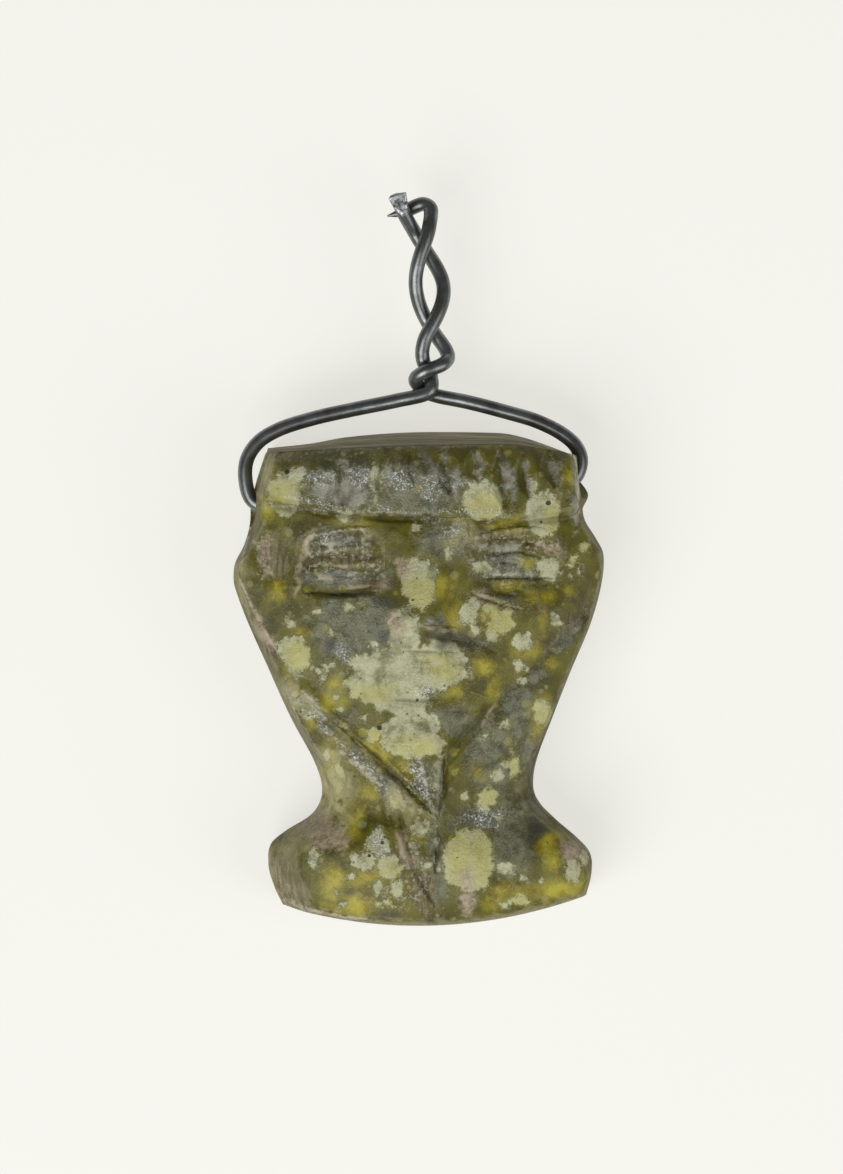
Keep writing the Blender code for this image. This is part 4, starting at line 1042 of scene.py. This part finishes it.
def stone_mesh():
    """The stone's closed surface, with the height fields that its colours need on its vertices."""
    s, t = front_shares()
    u, v = outline_point(s, t)
    z = carved_height(u, v)
    order = rim_order()
    rim = (order[:, 0], order[:, 1])
    loops = wall_loops(s[rim], t[rim], z[rim])

    count = len(order)
    rows, columns = z.shape
    us = np.concatenate([u.ravel()] + [loop[0] for loop in loops])
    vs = np.concatenate([v.ravel()] + [loop[1] for loop in loops])
    zs = np.concatenate([z.ravel()] + [loop[2] for loop in loops])
    vertices = np.stack([us * STONE_WIDTH, STONE_BASE + vs * STONE_HEIGHT, zs], axis=1)

    numbers = np.arange(rows * columns).reshape(rows, columns)
    front = np.stack(
        [numbers[:-1, :-1], numbers[:-1, 1:], numbers[1:, 1:], numbers[1:, :-1]], axis=-1
    ).reshape(-1, 4)
    rings = [numbers[rim]] + [rows * columns + k * count + np.arange(count) for k in range(len(loops))]
    walls = [
        np.stack([upper, lower, np.roll(lower, -1), np.roll(upper, -1)], axis=-1)
        for upper, lower in zip(rings, rings[1:])
    ]
    faces = np.concatenate([front, *walls]).tolist() + [rings[-1][::-1].tolist()]

    stone = mesh_object("carved_stone", vertices.tolist(), faces)
    bm = bmesh.new()
    bm.from_mesh(stone.data)
    bmesh.ops.recalc_face_normals(bm, faces=bm.faces)
    bm.to_mesh(stone.data)
    bm.free()

    bare = len(us) - rows * columns
    fields = {
        name: np.concatenate([np.clip((blur(z, reach) - z) / depth, -1.0, 1.0).ravel(), np.zeros(bare)])
        for name, (reach, depth) in HOLLOWS.items()
    }
    fields |= {
        "facet": np.concatenate([facet_share(u, v).ravel(), np.ones(bare)]),
        "face": np.concatenate([np.ones(rows * columns), np.zeros(bare)]),
        "rim": np.concatenate([rim_share(u, v).ravel(), np.repeat(wall_rim_shares(), count)]),
        "top": np.where((vs > top_edge(us) + TOP_MARGIN) & (zs > BACK_EDGE_RADIUS / 2), 1.0, 0.0),
        "depth": np.concatenate([np.zeros(rows * columns)] + [(z[rim] - loop[2]) / MM for loop in loops]),
    }
    return stone, fields


def colour_fields(x, y):
    """How far inside their edges the patches lie in mm, and the shares of the lines and specks."""
    near_x, near_y = waver(x, y, *PATCH_WAVER)
    fields = {name: spot_field(near_x, near_y, spots) / MM for name, spots in PATCHES.items()}
    near_x, near_y = waver(x, y, *LINE_WAVER)
    for name, lines in LINES.items():
        fields[name + "_line"] = line_field(near_x, near_y, lines)
    specks = [(px, py, px + SPECK_LENGTH, py, half) for px, py, half in BLACK_SPECKS]
    fields["speck"] = line_field(x, y, specks)
    return fields


def store(mesh, fields):
    for name, values in fields.items():
        layer = mesh.attributes.new(name, "FLOAT", "POINT")
        layer.data.foreach_set("value", np.asarray(values, dtype=np.float32))


def centripetal(a, b, c, d, ends, at):
    """The Catmull-Rom curve between b and c, with its knots at ends."""
    t0, t1, t2, t3 = ends
    ab = a.lerp(b, (at - t0) / (t1 - t0))
    bc = b.lerp(c, (at - t1) / (t2 - t1))
    cd = c.lerp(d, (at - t2) / (t3 - t2))
    abc = ab.lerp(bc, (at - t0) / (t2 - t0))
    bcd = bc.lerp(cd, (at - t1) / (t3 - t1))
    return abc.lerp(bcd, (at - t1) / (t2 - t1))


def smooth_route(points, step_length):
    """Points a step apart along a smooth curve through the given ones."""
    padded = [2 * points[0] - points[1], *points, 2 * points[-1] - points[-2]]
    dense = []
    for a, b, c, d in zip(padded, padded[1:], padded[2:], padded[3:]):
        count = max(2, math.ceil((c - b).length / step_length * ROUTE_FINENESS))
        ends = [0.0]
        for p, q in ((a, b), (b, c), (c, d)):
            ends.append(ends[-1] + math.sqrt((q - p).length))
        for k in range(count):
            at = ends[1] + (ends[2] - ends[1]) * k / count
            dense.append(centripetal(a, b, c, d, ends, at))
    dense.append(points[-1])
    length = sum((q - p).length for p, q in zip(dense, dense[1:]))
    spacing = length / round(length / step_length)
    route, left = [dense[0]], spacing
    for p, q in zip(dense, dense[1:]):
        gap = (q - p).length
        while gap >= left:
            p = p.lerp(q, left / gap)
            gap -= left
            left = spacing
            route.append(p)
        left -= gap
    route[-1] = points[-1]
    return route


def round_wire(name, route, thickness, shares, resolution):
    """A round closed mesh of a given thickness along a route, scaled by a share at each point."""
    data = bpy.data.curves.new(name + "_line", "CURVE")
    data.dimensions = "3D"
    data.twist_mode = "MINIMUM"
    data.bevel_depth = thickness / 2
    data.bevel_resolution = resolution
    data.use_fill_caps = True
    spline = data.splines.new("POLY")
    spline.points.add(len(route) - 1)
    for point, place, share in zip(spline.points, route, shares):
        point.co = (*place, 1.0)
        point.radius = share
    line = new_object(name + "_line", data)
    bpy.context.view_layer.update()
    bm = bmesh.new()
    bm.from_mesh(bpy.data.meshes.new_from_object(line.evaluated_get(bpy.context.evaluated_depsgraph_get())))
    bmesh.ops.remove_doubles(bm, verts=bm.verts, dist=MERGE_DISTANCE)
    bmesh.ops.recalc_face_normals(bm, faces=bm.faces)
    bpy.data.objects.remove(line, do_unlink=True)
    obj = mesh_object(name, [], [])
    bm.to_mesh(obj.data)
    bm.free()
    return obj


def bore_height_point(place):
    u, v = place
    return Vector((u * STONE_WIDTH, STONE_BASE + v * STONE_HEIGHT, BORE_RISE * STONE_THICKNESS))


def drill_cutters():
    """The hole with its worn mouths, and the grooves that the wire's arms sit in."""
    inner = bore_height_point(BORE_LEFT), bore_height_point(BORE_RIGHT)
    along = (inner[1] - inner[0]).normalized()
    edges = float(left_edge(BORE_LEFT[1])), float(right_edge(BORE_RIGHT[1]))
    left, right = (
        place + along * ((edge * STONE_WIDTH - place.x) / along.x) for place, edge in zip(inner, edges)
    )
    beyond = along * MOUTH_DEPTH
    bore = WIRE_DIAMETER + 2 * BORE_CLEARANCE
    flare = 1 + 4 * MOUTH_FLARE / bore
    route = [left - beyond, left + beyond, right - beyond, right + beyond]
    shares = (flare, 1.0, 1.0, flare)
    cutters = [round_wire("bore_cutter", route, bore, shares, CUTTER_RESOLUTION)]
    groove = WIRE_DIAMETER + 2 * ARM_CLEARANCE
    for start, arm in ((BORE_LEFT, LEFT_ARM), (BORE_RIGHT, RIGHT_ARM)):
        points = [bore_height_point(place) for place in (start, *arm[:GROOVE_POINTS])]
        route = smooth_route(points, GROOVE_STEP)
        cutters.append(round_wire("groove_cutter", route, groove, [1.0] * len(route), CUTTER_RESOLUTION))
    return cutters


def drill(stone):
    """Cuts the hole and the grooves out of the stone's mesh."""
    cutters = drill_cutters()
    for cutter in cutters:
        boolean = stone.modifiers.new(cutter.name, "BOOLEAN")
        boolean.operation = "DIFFERENCE"
        boolean.solver = "EXACT"
        boolean.object = cutter
    bpy.context.view_layer.update()
    evaluated = stone.evaluated_get(bpy.context.evaluated_depsgraph_get())
    mesh = bpy.data.meshes.new_from_object(evaluated)
    stone.modifiers.clear()
    stone.data = mesh
    for cutter in cutters:
        bpy.data.objects.remove(cutter, do_unlink=True)


def build_stone():
    stone, fields = stone_mesh()
    store(stone.data, fields)
    drill(stone)
    places = np.empty(len(stone.data.vertices) * 3, dtype=np.float32)
    stone.data.vertices.foreach_get("co", places)
    places = places.reshape(-1, 3).astype(float)
    store(stone.data, colour_fields(places[:, 0], places[:, 1]))
    normals = np.empty(len(stone.data.vertices) * 3, dtype=np.float32)
    stone.data.vertices.foreach_get("normal", normals)
    store(stone.data, {"steep": smooth((STEEP[0] - normals[2::3].astype(float)) / (STEEP[0] - STEEP[1]))})
    stone.data.shade_smooth()
    stone.data.set_sharp_from_angle(angle=SHARP_ANGLE)
    for face in stone.data.polygons:
        face.use_smooth = face.center.z > MERGE_DISTANCE
    stone.data.materials.append(stone_material())
    return stone


def streaks(tree, place, stretch, scale, turn):
    """Noise stretched along its axes, then turned anticlockwise."""
    mapped = add(
        tree, "ShaderNodeMapping", {"Vector": place, "Rotation": (0.0, 0.0, turn), "Scale": stretch},
        vector_type="TEXTURE",
    )
    return noise(tree, mapped.outputs["Vector"], scale, 3.0, 0.6)


def dots(tree, place, scale, kept, smallest, largest, channel):
    """Round spots in some of the cells of a Voronoi pattern: 1 inside them and 0 outside."""
    cells = add(tree, "ShaderNodeTexVoronoi", {"Vector": place, "Scale": scale, "Randomness": 1.0})
    pick = add(tree, "ShaderNodeSeparateColor", {"Color": cells.outputs["Color"]}).outputs[channel]
    size = add(
        tree, "ShaderNodeMapRange",
        {"Value": pick, "From Min": 1.0 - kept, "From Max": 1.0, "To Min": smallest, "To Max": largest},
    ).outputs["Result"]
    inside = step(tree, maths(tree, "SUBTRACT", size, cells.outputs["Distance"]), -DOT_EDGE, DOT_EDGE)
    return maths(tree, "MULTIPLY", inside, maths(tree, "GREATER_THAN", pick, 1.0 - kept))


def times(tree, *values):
    return reduce(lambda so_far, value: maths(tree, "MULTIPLY", so_far, value), values)


def most(tree, *values):
    return reduce(lambda so_far, value: maths(tree, "MAXIMUM", so_far, value), values)


def plus(tree, start, *parts):
    """The start with each part's value times its weight added in turn."""
    for value, weight in parts:
        start = maths(tree, "MULTIPLY_ADD", value, weight, start)
    return start


def through(tree, fields, masks):
    """The product of some masks."""
    return times(tree, *(
        fields[mask] if isinstance(mask, str) else step(tree, fields[mask[0]], *mask[1:]) for mask in masks
    ))


def painted(tree, fields, name):
    """A tone, with its layers laid over its colour in turn."""
    colour, *layers = TONES[name]
    for strength, tone, *masks in layers:
        above = painted(tree, fields, tone) if isinstance(tone, str) else tone
        colour = mix(tree, times(tree, through(tree, fields, masks), strength), colour, above)
    return colour


def stone_fields(tree):
    """What the stone's tones are laid by: noises, the mesh's own fields and shares of them."""
    place = object_place(tree)
    fields = noises(tree, place, NOISES)
    fields |= {name: streaks(tree, place, *settings) for name, settings in STREAKS.items()}
    fields |= {name: dots(tree, place, *settings) for name, settings in DOTS.items()}
    fields |= {name: attribute(tree, name) for name in MESH_FIELDS}
    wobble = times(tree, attribute(tree, "depth"), -DEPTH_SHRINK)
    for name, reach in EDGE_WOBBLE.items():
        wobble = maths(tree, "ADD", wobble, maths(tree, "MULTIPLY_ADD", fields[name], reach, -reach / 2))
    for name in PATCHES:
        fields[name] = maths(tree, "ADD", attribute(tree, name), wobble)
    for name, masks in SHARES.items():
        fields[name] = through(tree, fields, masks)
    fields["speck"] = plus(tree, attribute(tree, "speck"), (fields["crumbs"], SPECK_CRUMBS))
    fields["scratches"] = most(tree, fields["falling"], fields["rising"])
    fields["dotted"] = most(tree, fields["small dots"], fields["crowded"])
    # The hollows: painted shade is laid in them, and wear is kept out of them
    fields["shaded_hollows"] = most(tree, fields["cut"], fields["dipped"])
    fields["bare"] = plus(tree, 1.0, (fields["spotted"], -SPOT_COVER))
    # The walls, and the steep slopes as painted shade
    wall = times(tree, plus(tree, 1.0, (fields["face"], -1.0)), plus(tree, 1.0, (fields["top"], -1.0)))
    steep = times(tree, fields["steep"], fields["bare"], STEEP_TINT)
    fields["edges"] = most(tree, times(tree, wall, WALL_TINT), steep)
    shaded_hollows, dark = times(tree, fields["shaded_hollows"], SUNK_SHELTER), times(tree, fields["dark"], DARK_SHELTER)
    fields["rubbed"] = plus(tree, 1.0, (most(tree, shaded_hollows, dark), -1.0))
    return fields


def stone_material():
    """Mottled olive serpentine: pale and yellow patches, painted grey sheen and glints, painted shade in
    grooves and hollows, dull facets, rubbed edges.
    """
    made, tree, shader = new_material("serpentine")
    fields = stone_fields(tree)

    def strongest(*names):
        return most(tree, *(fields[name] for name in names))

    rough = plus(
        tree, 0.38, (strongest("facet", "steep", "top", "scraped"), 0.30), (fields["stained"], 0.20),
        (strongest("painted_sheen_share", "greyed"), -0.13), (fields["grain"], 0.10),
    )
    lively = plus(tree, 0.20, (strongest("painted_sheen_share", "spotted", "facet", "greyed"), 0.80))
    height = plus(
        tree, times(tree, fields["upright"], 0.14), (fields["scratches"], 0.30), (fields["crumbs"], 0.60),
        (times(tree, fields["grain"], lively), 1.0), (times(tree, fields["dust"], lively), 0.70),
    )
    connect(tree, shader, {
        "Base Color": painted(tree, fields, "serpentine"), "Roughness": rough,
        "Normal": bump(tree, height, 1.0, 0.06 * MM), "IOR": 1.56, "Specular IOR Level": 0.30,
        "Subsurface Weight": 0.10, "Subsurface Radius": (1.0, 0.9, 0.4), "Subsurface Scale": 0.35 * MM,
    })
    return made


# The wire

def strand_point(height, front, knot):
    """A point of one strand of the twisted stem. The front strand starts out in front."""
    phase = math.pi * float(curve(HALF_TURNS, height))
    sign = 1.0 if front else -1.0
    x = float(curve(STEM_DRIFT, height)) + sign * float(curve(STEM_SPREAD, height)) * math.sin(phase)
    z = float(curve(STEM_LEAN, height)) + sign * float(curve(STEM_DEPTH, height)) * math.cos(phase)
    return knot + Vector((x, height, z)) * WIRE_DIAMETER


def stem(front, knot):
    """One strand from the knot up to its cut end."""
    heights = np.linspace(0.0, STEM_ENDS[0] if front else STEM_ENDS[1], STEM_POINTS)
    points = [strand_point(float(height), front, knot) for height in heights]
    tail = FRONT_TAIL if front else BACK_TAIL
    return points + [knot + Vector(offset) * WIRE_DIAMETER for offset in tail]


def arm_points(start, arm, rises):
    """One arm from the hole to the knot, where it lies in front of the other arm or behind it."""
    points = [bore_height_point(place) for place in (start, *arm)]
    for point, rise in zip(points[-len(rises):], rises):
        point.z += rise * WIRE_DIAMETER
    return points


def wire_route():
    """The whole wire: one strand's end, down its stem and arm, through the stone, and up again."""
    knot = bore_height_point((KNOT_U, 1.0))
    knot.y += KNOT_RISE
    left_arm = arm_points(BORE_LEFT, LEFT_ARM, LEFT_RISES)
    right_arm = arm_points(BORE_RIGHT, RIGHT_ARM, RIGHT_RISES)
    inside = [left_arm[0].lerp(right_arm[0], share) for share in INSIDE_SHARES]
    front_leg = left_arm + stem(True, knot)
    back_leg = right_arm + stem(False, knot)
    return smooth_route(front_leg[::-1] + inside + back_leg, WIRE_STEP)


def build_wire():
    """The wire with its flattened, nipped end and its pointed end."""
    route = wire_route()
    shares = []
    for k in range(len(route)):
        to_point = (len(route) - 1 - k) * WIRE_STEP / POINT_LENGTH
        shares.append(min(1.0, POINT_TIP + (1 - POINT_TIP) * to_point**POINT_CURVE))
    wire = round_wire("iron_wire", route, WIRE_DIAMETER, shares, WIRE_RESOLUTION)
    end = route[0]
    along = (route[0] - route[NIP_POINTS]).normalized()
    side = along.cross(Vector((0.0, 0.0, 1.0))).normalized()
    up = side.cross(along)
    cut_face = set()
    for vertex in wire.data.vertices:
        offset = vertex.co - end
        back = -offset.dot(along)
        if back < NIP_LENGTH and offset.length < 2 * NIP_LENGTH:
            share = 1 - back / NIP_LENGTH
            across, high = offset.dot(side), offset.dot(up)
            ceiling = WIRE_DIAMETER * (0.5 - (1 - NIP_BLADE) * share)
            torn = float(relief(np.float64(across), np.float64(back), NIP_LUMPS))
            vertex.co += side * (across * NIP_SPREAD * share**2) + along * (torn * 2 * share**4)
            if high > ceiling:
                vertex.co += up * (ceiling + torn - high)
                cut_face.add(vertex.index)
    wire.data.shade_smooth()
    wire.data.set_sharp_from_angle(angle=WIRE_SHARP_ANGLE)
    wire.data.materials.append(iron_material())
    wire.data.materials.append(cut_iron_material())
    for face in wire.data.polygons:
        if cut_face.issuperset(face.vertices):
            face.material_index = 1
    return wire


def iron_material():
    """Blackened iron: dark and softly shining, a little grainy, with a few rust freckles."""
    made, tree, shader = new_material("dark_iron")
    fields = noises(tree, object_place(tree), IRON_NOISES)
    fields["rust"] = through(tree, fields, RUST)
    connect(tree, shader, {
        "Base Color": painted(tree, fields, "dark_iron"), "Metallic": 0.85,
        "Roughness": plus(tree, 0.26, (fields["grain"], 0.16), (fields["rust"], 0.30)),
        "Normal": bump(tree, fields["grain"], 0.4, 0.01 * MM),
    })
    return made


def cut_iron_material():
    """The bright metal of the nipped end."""
    made, tree, shader = new_material("cut_iron")
    fields = noises(tree, object_place(tree), CUT_NOISES)
    colour = painted(tree, fields, "cut_iron")
    connect(tree, shader, {"Base Color": colour, "Metallic": 0.9, "Roughness": 0.38})
    return made


# The table, the lights and the camera

def build_floor():
    corners = [(x * FLOOR_HALF, y * FLOOR_HALF, 0) for x, y in ((-1, -1), (1, -1), (1, 1), (-1, 1))]
    floor = mesh_object("table", corners, [(0, 1, 2, 3)])
    made, tree, shader = new_material("table_paper")
    connect(tree, shader, {
        "Base Color": (0.30, 0.299, 0.289, 1.0), "Roughness": 0.9, "Specular IOR Level": 0.1,
        "Emission Color": (1.0, 0.99, 0.925, 1.0), "Emission Strength": 0.655,
    })
    floor.data.materials.append(made)


def area_light(name, place, size, radiance):
    """A softbox of a given radiance that faces the amulet."""
    data = bpy.data.lights.new(name, "AREA")
    data.shape = "RECTANGLE"
    data.size, data.size_y = size
    data.energy = radiance * math.pi * size[0] * size[1]
    light = new_object(name, data)
    light.location = place
    light.rotation_euler = (-Vector(place)).to_track_quat("-Z", "Y").to_euler()


def build_lights():
    for name, (place, size, radiance) in SOFTBOXES.items():
        area_light(name, place, size, radiance)
    world = bpy.data.worlds.new("room")
    world.use_nodes = True
    tree = world.node_tree
    connect(tree, tree.nodes["Background"], {"Color": (1.0, 1.0, 0.99, 1.0), "Strength": 0.12})
    bpy.context.scene.world = world
    bpy.context.scene.view_settings.view_transform = "Standard"


def build_camera():
    data = bpy.data.cameras.new("camera")
    data.lens = LENS
    data.sensor_width = SENSOR
    data.clip_start = 0.01
    camera = new_object("camera", data)
    camera.location = PHOTO_CENTRE + Vector((0.0, 0.0, CAMERA_DISTANCE))
    bpy.context.scene.camera = camera


build_camera()
build_floor()
build_lights()

carved_stone = build_stone()
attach(carved_stone, "root")
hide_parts("stone_amulet")

iron_wire = build_wire()
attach(iron_wire, "root")
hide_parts("suspension_wire")
